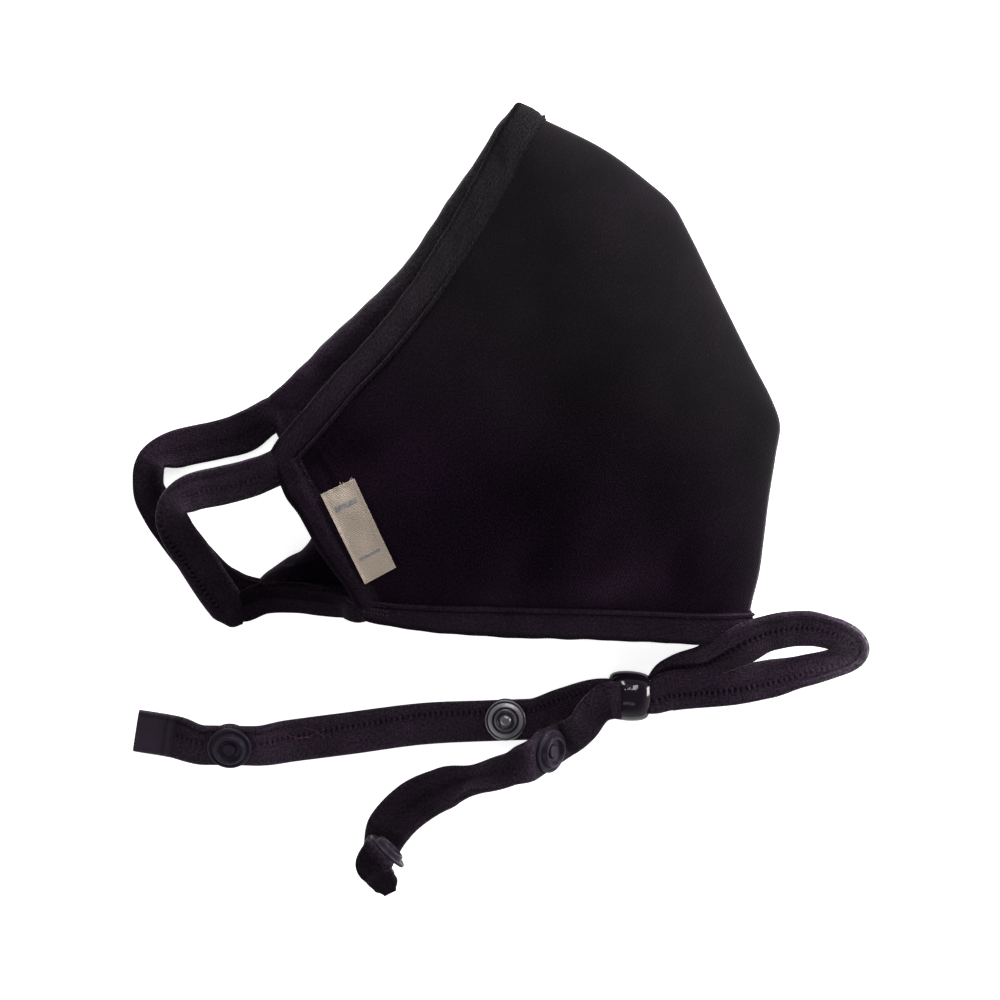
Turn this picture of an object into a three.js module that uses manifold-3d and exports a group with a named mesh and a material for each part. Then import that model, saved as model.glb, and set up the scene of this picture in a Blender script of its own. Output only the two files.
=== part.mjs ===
// Cloth respirator mask lying on its side, with its loose elastic head strap laid beside it.
// Millimetres, +Z up. The mask's nose points along +Y, its front seam (the ridge) along +X and its
// open ear side along -X. The origin is the centre of the footprint, on the surface it lies on.
import * as THREE from 'three';
import { mergeVertices } from 'three/addons/utils/BufferGeometryUtils.js';
import Module from 'manifold-3d';

// ---------- driving dimensions ----------
const WALL = 1.8; // cloth panel
const GAP = 0.3; // clearance between pieces
const LIP = 1.0; // one thickness of binding tape
const TAPE_THICK = 2.5; // ear loops and head strap
const SNAP_CLEARANCE = 0.35; // from the tape to either half of a press stud
const TOGGLE = {
  x: 35.6,
  y: -54.1,
  z: 4.8,
  turn: -4,
  length: 11.4,
  width: 13.9,
  height: 9.6,
  slotWidth: 10.6,
  slotHeight: 6,
};

const PANEL_COLOR = 0x1b181d;
const KNIT_COLOR = 0x201c22;

// ---------- tables of the folded mask ----------
// Front seam, chin to nose.
const RIDGE = [
  { x: 67.4, y: -38.4, z: 6.6 },
  { x: 69.3, y: -28.5, z: 8 },
  { x: 70.2, y: -20, z: 10.2 },
  { x: 71.9, y: -9.5, z: 12.8 },
  { x: 73.2, y: 0.5, z: 14.6 },
  { x: 75, y: 12, z: 16.2 },
  { x: 76, y: 20.5, z: 17 },
  { x: 74.2, y: 26.6, z: 17.3 },
  { x: 68.4, y: 38.1, z: 17.7 },
  { x: 59.9, y: 55.4, z: 18 },
  { x: 51.5, y: 72.6, z: 17.8 },
  { x: 47, y: 80.6, z: 17.5 },
  { x: 40.4, y: 86.6, z: 17.2 },
  { x: 28.6, y: 95.5, z: 16.5 },
  { x: 13.6, y: 103, z: 16 },
  { x: 5.6, y: 106.8, z: 16 },
];

// Plan of each half's other three edges: top and bottom from the ear to the seam, side upwards.
const EDGES = {
  near: {
    top: [
      { x: -61.3, y: 12.6 },
      { x: -58, y: 17.2 },
      { x: -50.8, y: 25.3 },
      { x: -43.2, y: 34.2 },
      { x: -36.5, y: 41 },
      { x: -31, y: 47.4 },
      { x: -23.5, y: 56.8 },
      { x: -13.7, y: 71 },
      { x: -8.3, y: 79.6 },
      { x: -3, y: 89 },
      { x: 1.6, y: 98 },
      { x: 5.6, y: 106.8 },
    ],
    bottom: [
      { x: -36.6, y: -31.7 },
      { x: -27, y: -33.6 },
      { x: -16, y: -34.9 },
      { x: 0, y: -36.1 },
      { x: 27, y: -37 },
      { x: 55, y: -38.4 },
      { x: 67.4, y: -38.4 },
    ],
    side: [
      { x: -36.6, y: -31.7 },
      { x: -39.6, y: -25.2 },
      { x: -44, y: -18.8 },
      { x: -48.8, y: -11.5 },
      { x: -52.6, y: -4.5 },
      { x: -57, y: 2 },
      { x: -61.3, y: 12.6 },
    ],
  },
  far: {
    top: [
      { x: -63.6, y: 27 },
      { x: -56.6, y: 33.3 },
      { x: -47.8, y: 42.2 },
      { x: -38.4, y: 51 },
      { x: -29.2, y: 59.7 },
      { x: -22, y: 68.4 },
      { x: -16.2, y: 77.2 },
      { x: -10.2, y: 86 },
      { x: -4.2, y: 94.5 },
      { x: 1, y: 101.6 },
      { x: 5.6, y: 106.8 },
    ],
    bottom: [
      { x: -66.6, y: -27.6 },
      { x: -55, y: -28.4 },
      { x: -45, y: -29.8 },
      { x: -30, y: -32.4 },
      { x: 0, y: -34.6 },
      { x: 30, y: -35.8 },
      { x: 67.4, y: -38.4 },
    ],
    side: [
      { x: -66.6, y: -27.6 },
      { x: -64.6, y: -21.4 },
      { x: -59.6, y: -17.3 },
      { x: -54, y: -14.2 },
      { x: -50.6, y: -9.6 },
      { x: -50.6, y: -3.4 },
      { x: -53.8, y: 4 },
      { x: -58, y: 13 },
      { x: -63.6, y: 27 },
    ],
  },
};

// Height of the cloth past the seam's roll-off, by the share of the way from the seam to the ear.
const HEIGHTS = {
  near: [
    { share: 0, bottom: 10, top: 20, dome: 17 },
    { share: 0.3, bottom: 13.5, top: 22.4, dome: 17 },
    { share: 0.6, bottom: 17.5, top: 23.2, dome: 14.5 },
    { share: 1, bottom: 21, top: 22, dome: 3.5 },
  ],
  far: [
    { share: 0, bottom: 3.4, top: 12, dome: -13 },
    { share: 0.3, bottom: 3, top: 7.4, dome: -9 },
    { share: 0.6, bottom: 2.6, top: 5, dome: -6 },
    { share: 0.86, bottom: 2, top: 3.6, dome: -2.4 },
    { share: 1, bottom: 1.8, top: 3.2, dome: 2 },
  ],
};

// Width over which each half rolls away from the seam, by the share of the way from chin to nose.
const ROLL_OFF = [
  { share: 0, near: 5.5, far: 5.5 },
  { share: 0.12, near: 19, far: 17 },
  { share: 0.5, near: 36, far: 27 },
  { share: 0.88, near: 22, far: 17 },
  { share: 1, near: 7, far: 7 },
];

// Visible widths of the upper and lower bindings, by the share of the way from the seam to the ear.
const BANDS = [
  { share: 0, bottom: 8.2, top: 8.2 },
  { share: 0.7, bottom: 7.6, top: 8.2 },
  { share: 1, bottom: 5.8, top: 8.4 },
];

// Visible width of the ear-side bindings, by the share of the way from chin to nose.
const SIDE_BANDS = [
  { share: 0, width: 5 },
  { share: 1, width: 6.9 },
];

// Shallow dents in the near half.
const DENTS = [
  { x: 9, y: -17, reach: 9, depth: 1.8 },
  { x: 43, y: -14, reach: 10, depth: 1.5 },
  { x: 15, y: 23, reach: 16, depth: 1.2 },
  { x: -38, y: 10, reach: 7, depth: 1 },
];

// ---------- tables of the tapes ----------
// roll raises the tape's left edge, seen along its run, in degrees.
const NEAR_LOOP_UPPER = [
  { x: -68, y: 5.9, z: 19.8, roll: 0, width: 10.4, thick: 2.6 },
  { x: -76, y: 3.9, z: 17.6, roll: 0, width: 10.7, thick: 2.5 },
  { x: -84, y: 2.1, z: 15.6, roll: 12, width: 10.6, thick: 2.5 },
  { x: -89, y: -1, z: 14.4, roll: 34, width: 10, thick: 2.5 },
  { x: -89.2, y: -6.8, z: 13.3, roll: 18, width: 10.2, thick: 2.5 },
  { x: -83.6, y: -16.2, z: 11.2, roll: 0, width: 10.6, thick: 2.5 },
  { x: -78.6, y: -24.2, z: 9.4, roll: 0, width: 10.6, thick: 2.6 },
  { x: -75, y: -29.2, z: 8, roll: 0, width: 10.4, thick: 3.2 },
  { x: -73, y: -32, z: 7, roll: 0, width: 8, thick: 3 },
];
const NEAR_LOOP_LOWER = [
  { x: -73.4, y: -30.4, z: 7.2, roll: 4, width: 8, thick: 2.4 },
  { x: -70.2, y: -29.8, z: 7.8, roll: 12, width: 9.6, thick: 2.5 },
  { x: -64.8, y: -27, z: 9.2, roll: 26, width: 9.4, thick: 2.5 },
  { x: -56, y: -26.8, z: 11.4, roll: 38, width: 10.2, thick: 2.5 },
  { x: -47, y: -27.4, z: 15, roll: 34, width: 9.8, thick: 2.5 },
];
const FAR_LOOP = [
  { x: -71, y: 18.9, z: 3, roll: 0, width: 10.8, thick: 2.6 },
  { x: -78, y: 16.7, z: 2, roll: 0, width: 10.8, thick: 2.5 },
  { x: -88.6, y: 14.4, z: 1.8, roll: 4, width: 10.8, thick: 2.5 },
  { x: -95.2, y: 11.3, z: 3.2, roll: 26, width: 10.6, thick: 2.5 },
  { x: -97.3, y: 5, z: 3.9, roll: 34, width: 10.4, thick: 2.5 },
  { x: -95.6, y: -0.8, z: 3.2, roll: 22, width: 10.6, thick: 2.5 },
  { x: -91.2, y: -7.4, z: 2.2, roll: 8, width: 10.8, thick: 2.5 },
  { x: -84, y: -16.6, z: 1.5, roll: 0, width: 10.6, thick: 2.5 },
  { x: -75.8, y: -23.2, z: 1.5, roll: 0, width: 9.4, thick: 2.5 },
];

// The head strap from its tabbed end, through the toggle, round the loop and back to its free end.
// A row with hold is a straight stretch of that half length about its middle, along turn and slope.
const STRAP = [
  { x: -100.8, y: -64, z: 1.6, roll: 3, width: 11 },
  { x: -90.2, y: -65.6, z: 2.4, roll: 10, width: 11.3 },
  { x: -75.2, y: -67.4, z: 5.2, roll: 24, width: 11.6, turn: -3, slope: 0, hold: 6.6, snap: 'socket' },
  { x: -58, y: -66, z: 2.6, roll: 8, width: 11.4 },
  { x: -42, y: -63.8, z: 1.5, roll: 0, width: 11.4 },
  { x: -22, y: -61.6, z: 1.5, roll: 0, width: 11.3 },
  { x: 1.5, y: -60.8, z: 3.5, roll: 0, width: 11.3, turn: 2, slope: 0, hold: 6.6, snap: 'stud' },
  { x: 17.5, y: -57.7, z: 1.5, roll: 0, width: 11.2 },
  { x: 35.6, y: -54.1, z: 3.25, roll: 0, width: 9.8, thick: 2.3, turn: -4, slope: 0, hold: 7.2 },
  { x: 52.7, y: -53.4, z: 2.2, roll: -6, width: 10.8 },
  { x: 63.8, y: -51.4, z: 2.4, roll: -10, width: 11 },
  { x: 74, y: -49.2, z: 2.8, roll: -14, width: 10.4 },
  { x: 84, y: -46.9, z: 3.4, roll: -20, width: 10 },
  { x: 92.6, y: -44.4, z: 4.2, roll: -30, width: 10 },
  { x: 96.6, y: -42.4, z: 4.6, roll: -34, width: 10.4 },
  { x: 97.6, y: -40.3, z: 4.8, roll: -36, width: 10.6 },
  { x: 96, y: -38.1, z: 4.8, roll: -35, width: 10.4 },
  { x: 92, y: -36.2, z: 5, roll: -32, width: 10.2 },
  { x: 84, y: -35, z: 6.4, roll: -26, width: 10.2 },
  { x: 74.5, y: -36.6, z: 9.8, roll: -26, width: 10.4 },
  { x: 66, y: -39.6, z: 13, roll: -26, width: 10.4 },
  { x: 57, y: -43.6, z: 12.4, roll: -26, width: 10 },
  { x: 50, y: -48, z: 8.8, roll: -12, width: 10 },
  { x: 35.6, y: -54.1, z: 6.35, roll: 0, width: 9.8, thick: 2.3, turn: 176, slope: 0, hold: 7.8 },
  { x: 25.2, y: -59.2, z: 7, roll: -14, width: 11 },
  { x: 12.2, y: -68.6, z: 8, roll: -26, width: 11.2, turn: 208, slope: 36, hold: 6.6, snap: 'socket' },
  { x: 2.6, y: -73.3, z: 12.6, roll: 12, width: 10.6 },
  { x: -7, y: -77.5, z: 7.6, roll: 50, width: 10.6 },
  { x: -15.6, y: -79.8, z: 3.8, roll: 20, width: 11.2 },
  { x: -23.6, y: -83.8, z: 1.6, roll: 0, width: 11.3 },
  { x: -30.6, y: -91, z: 1.7, roll: 0, width: 11.2 },
  { x: -33, y: -96, z: 9, roll: 0, width: 10.6, turn: 226, slope: 76, hold: 6.9, snap: 'socket' },
  { x: -35, y: -100, z: 16, roll: 0, width: 10 },
  { x: -33.4, y: -103.6, z: 13, roll: 0, width: 9.6 },
  { x: -30.6, y: -106.8, z: 9.8, roll: 0, width: 8.6 },
];
const TAB_ROWS = 1; // the end tab takes the strap's first stretch
const TAPE_STEP = 5.5;
const END_THICK = 4; // of a tape at a binding's end

// ---------- small helpers ----------
const vec = (x, y, z) => new THREE.Vector3(x, y, z);
const lerp = THREE.MathUtils.lerp;
const radians = THREE.MathUtils.degToRad;
const moved = (point, direction, amount) => point.clone().addScaledVector(direction, amount);
const ease = (t) => t * t * (3 - 2 * t);

// Reads a table at a value of its share column, eased between rows.
function readTable(table, column, share) {
  const last = table.length - 2;
  let i = 0;
  while (i < last && share > table[i + 1].share) i += 1;
  const from = table[i];
  const to = table[i + 1];
  const t = THREE.MathUtils.clamp((share - from.share) / (to.share - from.share), 0, 1);
  return lerp(from[column], to[column], t);
}

// Turns a closed set of triangles so that its faces point out, and joins equal corners.
function closedGeometry(points, triangles) {
  let volume = 0;
  for (const [a, b, c] of triangles) {
    volume += points[a].dot(vec(0, 0, 0).crossVectors(points[b], points[c]));
  }
  const order = volume < 0 ? triangles.map(([a, b, c]) => [a, c, b]) : triangles;
  const geometry = new THREE.BufferGeometry();
  geometry.setAttribute('position', new THREE.Float32BufferAttribute(points.flatMap((p) => [p.x, p.y, p.z]), 3));
  geometry.setIndex(order.flat());
  return mergeVertices(geometry, 1e-4);
}

// A cloth wall between two grids of points, closed along all four borders.
function wallGeometry(outer, inner) {
  const columns = outer.length;
  const rows = outer[0].length;
  const points = [...outer.flat(), ...inner.flat()];
  const at = (layer, k, j) => layer * columns * rows + k * rows + j;
  const triangles = [];
  const quad = (a, b, c, d) => triangles.push([a, b, c], [a, c, d]);
  for (let k = 0; k + 1 < columns; k += 1) {
    for (let j = 0; j + 1 < rows; j += 1) {
      quad(at(0, k, j), at(0, k + 1, j), at(0, k + 1, j + 1), at(0, k, j + 1));
      quad(at(1, k, j + 1), at(1, k + 1, j + 1), at(1, k + 1, j), at(1, k, j));
    }
  }
  for (let k = 0; k + 1 < columns; k += 1) {
    quad(at(1, k, 0), at(1, k + 1, 0), at(0, k + 1, 0), at(0, k, 0));
    quad(at(0, k, rows - 1), at(0, k + 1, rows - 1), at(1, k + 1, rows - 1), at(1, k, rows - 1));
  }
  for (let j = 0; j + 1 < rows; j += 1) {
    quad(at(0, 0, j), at(0, 0, j + 1), at(1, 0, j + 1), at(1, 0, j));
    quad(at(1, columns - 1, j), at(1, columns - 1, j + 1), at(0, columns - 1, j + 1), at(0, columns - 1, j));
  }
  return closedGeometry(points, triangles);
}

// A solid through equal rings of points. Each ring is two matching lines joined end to end, so the
// end caps are the strips between those lines, also where the ring is a bent U.
function loftGeometry(rings) {
  const count = rings[0].length;
  const half = count / 2;
  const triangles = [];
  for (let r = 0; r + 1 < rings.length; r += 1) {
    for (let i = 0; i < count; i += 1) {
      const next = (i + 1) % count;
      const a = r * count + i;
      const b = r * count + next;
      triangles.push([a, b, b + count], [a, b + count, a + count]);
    }
  }
  for (const [start, flip] of [[0, true], [(rings.length - 1) * count, false]]) {
    for (let i = 0; i + 1 < half; i += 1) {
      const a = start + i;
      const b = start + i + 1;
      const c = start + count - 2 - i;
      const d = start + count - 1 - i;
      const strip = [[a, b, c], [a, c, d]];
      triangles.push(...(flip ? strip.map(([p, q, s]) => [p, s, q]) : strip));
    }
  }
  return closedGeometry(rings.flat(), triangles);
}

// ---------- the cloth halves ----------
const planCurve = (rows) => new THREE.CatmullRomCurve3(rows.map((r) => vec(r.x, r.y, 0)), false, 'centripetal');
const ridgeCurve = new THREE.CatmullRomCurve3(RIDGE.map((r) => vec(r.x, r.y, r.z)), false, 'centripetal');

// Plan of one half: its four edge curves blended, along from the ear to the seam, up from chin to nose.
function planPatch(edges) {
  const top = planCurve(edges.top);
  const bottom = planCurve(edges.bottom);
  const side = planCurve(edges.side);
  const earLow = side.getPointAt(0);
  const earHigh = side.getPointAt(1);
  const chin = ridgeCurve.getPointAt(0);
  const nose = ridgeCurve.getPointAt(1);
  return (along, up) => {
    const point = bottom.getPointAt(along).multiplyScalar(1 - up)
      .addScaledVector(top.getPointAt(along), up)
      .addScaledVector(side.getPointAt(up), 1 - along)
      .addScaledVector(ridgeCurve.getPointAt(up), along)
      .addScaledVector(earLow, -(1 - along) * (1 - up))
      .addScaledVector(chin, -along * (1 - up))
      .addScaledVector(earHigh, -(1 - along) * up)
      .addScaledVector(nose, -along * up);
    return point.setZ(0);
  };
}

const BAND_GRID = [0, 0.5, 1]; // a binding is two strips of the panel's grid wide
const ROLL_ANGLES = [0, 15, 30, 45, 60, 75, 90];
const DOME_POWER = { near: 0.8, far: 1.7 };
const BODY_COLUMNS = 7;
const BODY_ROWS = 14;

// Height of a half's outer face.
function faceHeight(half, fromSeam, up, width) {
  const seam = ridgeCurve.getPointAt(up).z;
  const table = HEIGHTS[half];
  const column = (name) => readTable(table, name, fromSeam);
  let plateau = lerp(column('bottom'), column('top'), up);
  plateau += column('dome') * Math.sin(Math.PI * up) ** DOME_POWER[half];
  if (half === 'far') plateau = Math.max(plateau, 0);
  const reach = Math.min(1, (fromSeam * width) / readTable(ROLL_OFF, half, up));
  const roll = Math.sqrt(1 - (1 - reach) ** 2);
  const seamGap = half === 'near' ? GAP / 2 : -GAP / 2;
  return lerp(seam + seamGap, plateau, roll);
}

// Grid of a half's outer face. Columns run from the seam to the ear, rows from chin to nose, and the
// strips along the edges have the bindings' true widths.
function faceGrid(half) {
  const patch = planPatch(EDGES[half]);
  const columnLength = (along) => {
    let length = 0;
    let before = patch(along, 0);
    for (let i = 1; i <= 12; i += 1) {
      const next = patch(along, i / 12);
      length += next.distanceTo(before);
      before = next;
    }
    return length;
  };
  const widthAt = (up) => patch(0, up).distanceTo(patch(1, up));
  const sideBand = (up) => readTable(SIDE_BANDS, 'width', up);
  const spare = 2 * GAP;
  const columns = [
    ...ROLL_ANGLES.map((angle) => (up) => {
      const reach = readTable(ROLL_OFF, half, up) / widthAt(up);
      return reach * (1 - Math.cos(radians(angle)));
    }),
    ...Array.from({ length: BODY_COLUMNS }, (_, i) => (up) => {
      const start = readTable(ROLL_OFF, half, up) / widthAt(up);
      const end = 1 - (sideBand(up) + spare) / widthAt(up);
      return lerp(start, end, (i + 1) / (BODY_COLUMNS + 1));
    }),
    (up) => 1 - (sideBand(up) + spare) / widthAt(up),
    ...BAND_GRID.slice().reverse().map((step) => (up) => 1 - (sideBand(up) * step) / widthAt(up)),
  ];
  const rows = [
    ...BAND_GRID.map((step) => (length, band) => (band.bottom * step) / length),
    (length, band) => (band.bottom + spare) / length,
    ...Array.from({ length: BODY_ROWS }, (_, i) => (length, band) =>
      lerp((band.bottom + spare) / length, 1 - (band.top + spare) / length, (i + 1) / (BODY_ROWS + 1))),
    (length, band) => 1 - (band.top + spare) / length,
    ...BAND_GRID.slice().reverse().map((step) => (length, band) => 1 - (band.top * step) / length),
  ];
  const bandAt = (fromSeam) => ({
    bottom: readTable(BANDS, 'bottom', fromSeam),
    top: readTable(BANDS, 'top', fromSeam),
  });
  return columns.map((column) => rows.map((row) => {
    let up = 0.5;
    let fromSeam = column(up);
    for (let pass = 0; pass < 3; pass += 1) {
      up = row(columnLength(1 - fromSeam), bandAt(fromSeam));
      fromSeam = column(up);
    }
    const point = patch(1 - fromSeam, up);
    point.z = faceHeight(half, fromSeam, up, widthAt(up));
    if (half === 'near') {
      for (const dent of DENTS) {
        const away = Math.hypot(point.x - dent.x, point.y - dent.y) / dent.reach;
        point.z -= dent.depth * Math.exp(-away * away);
      }
    }
    return point;
  }));
}

// Unit normals of a grid, pointing up for the near half and down for the far one.
function gridNormals(grid, half) {
  const columns = grid.length;
  const rows = grid[0].length;
  return grid.map((line, k) => line.map((_, j) => {
    const across = grid[Math.min(k + 1, columns - 1)][j].clone().sub(grid[Math.max(k - 1, 0)][j]);
    const upward = grid[k][Math.min(j + 1, rows - 1)].clone().sub(grid[k][Math.max(j - 1, 0)]);
    const normal = across.cross(upward);
    if ((normal.z < 0) === (half === 'near')) normal.negate();
    if (k === 0) normal.z = 0;
    return normal.normalize();
  }));
}

function buildHalf(half) {
  const outer = faceGrid(half);
  const normals = gridNormals(outer, half);
  const inner = outer.map((line, k) => line.map((point, j) => moved(point, normals[k][j], -WALL)));
  return { outer, inner, normals };
}

const halves = { near: buildHalf('near'), far: buildHalf('far') };

// ---------- the bindings ----------
// One U section of tape folded over an edge. Line holds the grid cells from the edge inwards.
function foldedSection(half, line) {
  const { outer, inner, normals } = halves[half];
  const cells = line.map(([k, j]) => ({ face: outer[k][j], back: inner[k][j], normal: normals[k][j] }));
  const [edge, next] = cells;
  const beyond = edge.face.clone().sub(next.face);
  beyond.addScaledVector(edge.normal, -beyond.dot(edge.normal)).normalize();
  const middle = edge.face.clone().lerp(edge.back, 0.5);
  const side = (reach) => [
    ...cells.slice(1).reverse().map((cell) => moved(cell.face, cell.normal, reach)),
    moved(moved(edge.face, edge.normal, reach), beyond, reach === GAP ? GAP : 0.2),
    moved(middle, beyond, reach === GAP ? GAP : reach * 1.15),
    moved(moved(edge.back, edge.normal, -reach), beyond, reach === GAP ? GAP : 0.2),
    ...cells.slice(1).map((cell) => moved(cell.back, cell.normal, -reach)),
  ];
  return [...side(GAP + LIP), ...side(GAP).reverse()];
}

const lastColumn = halves.near.outer.length - 1;
const lastRow = halves.near.outer[0].length - 1;
const columnList = Array.from({ length: lastColumn + 1 }, (_, k) => k);

// Tape over an edge that both halves share, from the near ear over the seam to the far ear.
function sharedBinding(edgeRow, step) {
  const cells = (k) => [[k, edgeRow], [k, edgeRow + step], [k, edgeRow + 2 * step]];
  return loftGeometry([
    ...columnList.slice().reverse().map((k) => foldedSection('near', cells(k))),
    ...columnList.map((k) => foldedSection('far', cells(k))),
  ]);
}

// Tape over a half's ear-side edge, between the other two bindings.
function sideBinding(half) {
  const rings = [];
  for (let j = 3; j <= lastRow - 3; j += 1) {
    rings.push(foldedSection(half, [[lastColumn, j], [lastColumn - 1, j], [lastColumn - 2, j]]));
  }
  return loftGeometry(rings);
}

// Where a loop's tape leaves or enters a binding: the frame of the binding's ear end.
function bindingEnd(half, edgeRow, step) {
  const cells = [0, 1, 2].map((n) => [lastColumn, edgeRow + n * step]);
  const section = foldedSection(half, cells).slice(0, 7);
  const lips = section[0].clone().lerp(section[6], 0.5);
  const across = lips.clone().sub(section[3]);
  const up = section[0].clone().sub(section[6]);
  if (up.z < 0) up.negate();
  up.addScaledVector(across, -up.dot(across) / across.lengthSq()).normalize();
  across.normalize();
  return {
    at: lips.clone().lerp(section[3], 0.5),
    across,
    up,
    heading: across.clone().cross(up),
    width: lips.distanceTo(section[3]) - 2 * GAP,
    thick: END_THICK,
  };
}

// ---------- tapes ----------
// Direction of a held row's straight stretch.
function holdDirection(row) {
  const level = Math.cos(radians(row.slope));
  return vec(Math.cos(radians(row.turn)) * level, Math.sin(radians(row.turn)) * level, Math.sin(radians(row.slope)));
}

// Places along a tape: a smooth curve through its rows, straight where a row is held. A tape may be
// carried on from one binding's end and run into another's.
function tapeStations(table, fromEnd = null, toEnd = null) {
  const knots = [];
  for (const row of table) {
    const base = { thick: TAPE_THICK, ...row, at: vec(row.x, row.y, row.z) };
    if (row.hold) {
      const direction = holdDirection(row);
      knots.push({ ...base, at: moved(base.at, direction, -row.hold), direction, opens: true });
      knots.push({ ...base, at: moved(base.at, direction, row.hold), direction });
    } else {
      knots.push(base);
    }
  }
  const endKnot = (end, away) => {
    return { ...end, at: moved(end.at, end.heading, away), direction: end.heading, roll: rollOf(end) };
  };
  if (fromEnd) knots.unshift(endKnot(fromEnd, GAP));
  if (toEnd) knots.push(endKnot(toEnd, -GAP));
  knots.forEach((knot, i) => {
    const before = knots[Math.max(i - 1, 0)].at;
    const after = knots[Math.min(i + 1, knots.length - 1)].at;
    knot.direction ??= after.clone().sub(before).normalize();
  });
  const stations = [];
  for (let i = 0; i + 1 < knots.length; i += 1) {
    const from = knots[i];
    const to = knots[i + 1];
    const chord = from.at.distanceTo(to.at);
    const steps = from.opens ? 1 : Math.max(1, Math.round(chord / TAPE_STEP));
    for (let n = 0; n < steps; n += 1) stations.push(stationBetween(from, to, n / steps, chord, i));
  }
  stations.push(stationBetween(knots.at(-2), knots.at(-1), 1, 1, knots.length - 2));
  return stations;
}

// Roll of a frame about its heading, in degrees.
function rollOf({ heading, across, up }) {
  const level = vec(-heading.y, heading.x, 0).normalize();
  return THREE.MathUtils.radToDeg(Math.atan2(-up.dot(level), across.dot(level)));
}

// One place between two knots: cubic in place, eased in roll, width and thickness.
function stationBetween(from, to, t, chord, stretch) {
  const at = from.at.clone().multiplyScalar(1 - 3 * t * t + 2 * t ** 3)
    .addScaledVector(to.at, 3 * t * t - 2 * t ** 3)
    .addScaledVector(from.direction, chord * t * (1 - t) ** 2)
    .addScaledVector(to.direction, chord * t * t * (t - 1));
  const run = from.at.clone().multiplyScalar(6 * t * (t - 1))
    .addScaledVector(to.at, 6 * t * (1 - t))
    .addScaledVector(from.direction, chord * (1 - t) * (1 - 3 * t))
    .addScaledVector(to.direction, chord * t * (3 * t - 2));
  const direction = t === 0 ? from.direction : t === 1 ? to.direction : run.normalize();
  const level = vec(-direction.y, direction.x, 0).normalize();
  const lift = direction.clone().cross(level);
  const roll = radians(lerp(from.roll, to.roll, ease(t)));
  const across = level.clone().multiplyScalar(Math.cos(roll)).addScaledVector(lift, Math.sin(roll));
  return {
    at,
    across,
    up: direction.clone().cross(across),
    width: lerp(from.width, to.width, ease(t)),
    thick: lerp(from.thick, to.thick, ease(t)),
    stretch,
  };
}

// Flat tape with rounded edges through its stations.
function tapeGeometry(stations) {
  return loftGeometry(stations.map(({ at, across, up, width, thick }) => {
    const a = width / 2;
    const b = thick / 2;
    const corner = 0.7 * b;
    const line = [[-a, 0.35 * b], [-a + corner, b], [a - corner, b], [a, 0.35 * b]];
    const section = [...line, ...line.slice().reverse().map(([x, y]) => [x, -y])];
    return section.map(([x, y]) => moved(moved(at, across, x), up, y));
  }));
}

const strapStations = tapeStations(STRAP);

// ---------- hardware ----------
// Half profiles of the press studs, radius and height above the tape.
const CAP_PROFILE = [[0, 0], [5.6, 0], [6, 0.5], [5.4, 1.1], [3.4, 1.6], [0, 1.8]];
const FACE_PROFILES = {
  socket: [[0, 0], [6.1, 0], [6.1, 0.7], [5.6, 0.9], [5.1, 0.6], [4.6, 0.6], [4.2, 2], [3.6, 2.2], [2.9, 1.1],
    [1.9, 0.8], [1.7, 1.5], [0, 1.5]],
  stud: [[0, 0], [6.1, 0], [6.1, 0.7], [5.7, 0.9], [5.3, 0.7], [4.1, 0.7], [3.4, 0.9], [2.9, 2.2], [2.3, 2.2],
    [2, 1.5], [1.7, 1.8], [0, 2.2]],
};
const STUD_SIDES = 20;

// A turned piece standing on a face of the tape.
function turnedOn(profile, station, facing) {
  const points = profile.map(([radius, height]) => new THREE.Vector2(radius, height));
  const geometry = new THREE.LatheGeometry(points, STUD_SIDES);
  geometry.deleteAttribute('uv');
  geometry.deleteAttribute('normal');
  const axis = station.up.clone().multiplyScalar(facing);
  const third = station.across.clone().cross(axis);
  const seat = moved(station.at, axis, station.thick / 2 + SNAP_CLEARANCE);
  geometry.applyMatrix4(new THREE.Matrix4().makeBasis(station.across, axis, third).setPosition(seat));
  return mergeVertices(geometry, 1e-4);
}

// The toggle: a barrel, oval across, with a slot right through for the two strands.
function toggleGeometry() {
  const sides = 24;
  const barrel = [
    { share: -0.5, size: 0.84 },
    { share: -0.42, size: 0.93 },
    { share: -0.2, size: 0.99 },
    { share: 0.2, size: 1 },
    { share: 0.42, size: 0.94 },
    { share: 0.5, size: 0.85 },
  ];
  const oval = (x, width, height, power) => Array.from({ length: sides }, (_, i) => {
    const angle = (2 * Math.PI * (i + 0.5)) / sides;
    const round = (value) => Math.sign(value) * Math.abs(value) ** power;
    return vec(x, (round(Math.cos(angle)) * width) / 2, (round(Math.sin(angle)) * height) / 2);
  });
  const outer = barrel.map(({ share, size }) => {
    return oval(share * TOGGLE.length, TOGGLE.width * size, TOGGLE.height * size, 0.8);
  });
  const bore = [0.5, -0.5].map((share) => oval(share * TOGGLE.length, TOGGLE.slotWidth, TOGGLE.slotHeight, 0.3));
  const rings = [...outer, ...bore];
  const triangles = [];
  rings.forEach((_, r) => {
    const nextRing = (r + 1) % rings.length;
    for (let i = 0; i < sides; i += 1) {
      const next = (i + 1) % sides;
      const [a, b] = [r * sides + i, r * sides + next];
      const [c, d] = [nextRing * sides + next, nextRing * sides + i];
      triangles.push([a, b, c], [a, c, d]);
    }
  });
  return closedGeometry(rings.flat(), triangles);
}

// ---------- the label ----------
const LABEL = { length: 26.5, width: 9.6, thick: 0.6, lift: 0.3, rows: 6, columns: 3,
  corner: { x: -47.2, y: 1.9 }, turn: -63 };

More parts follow.
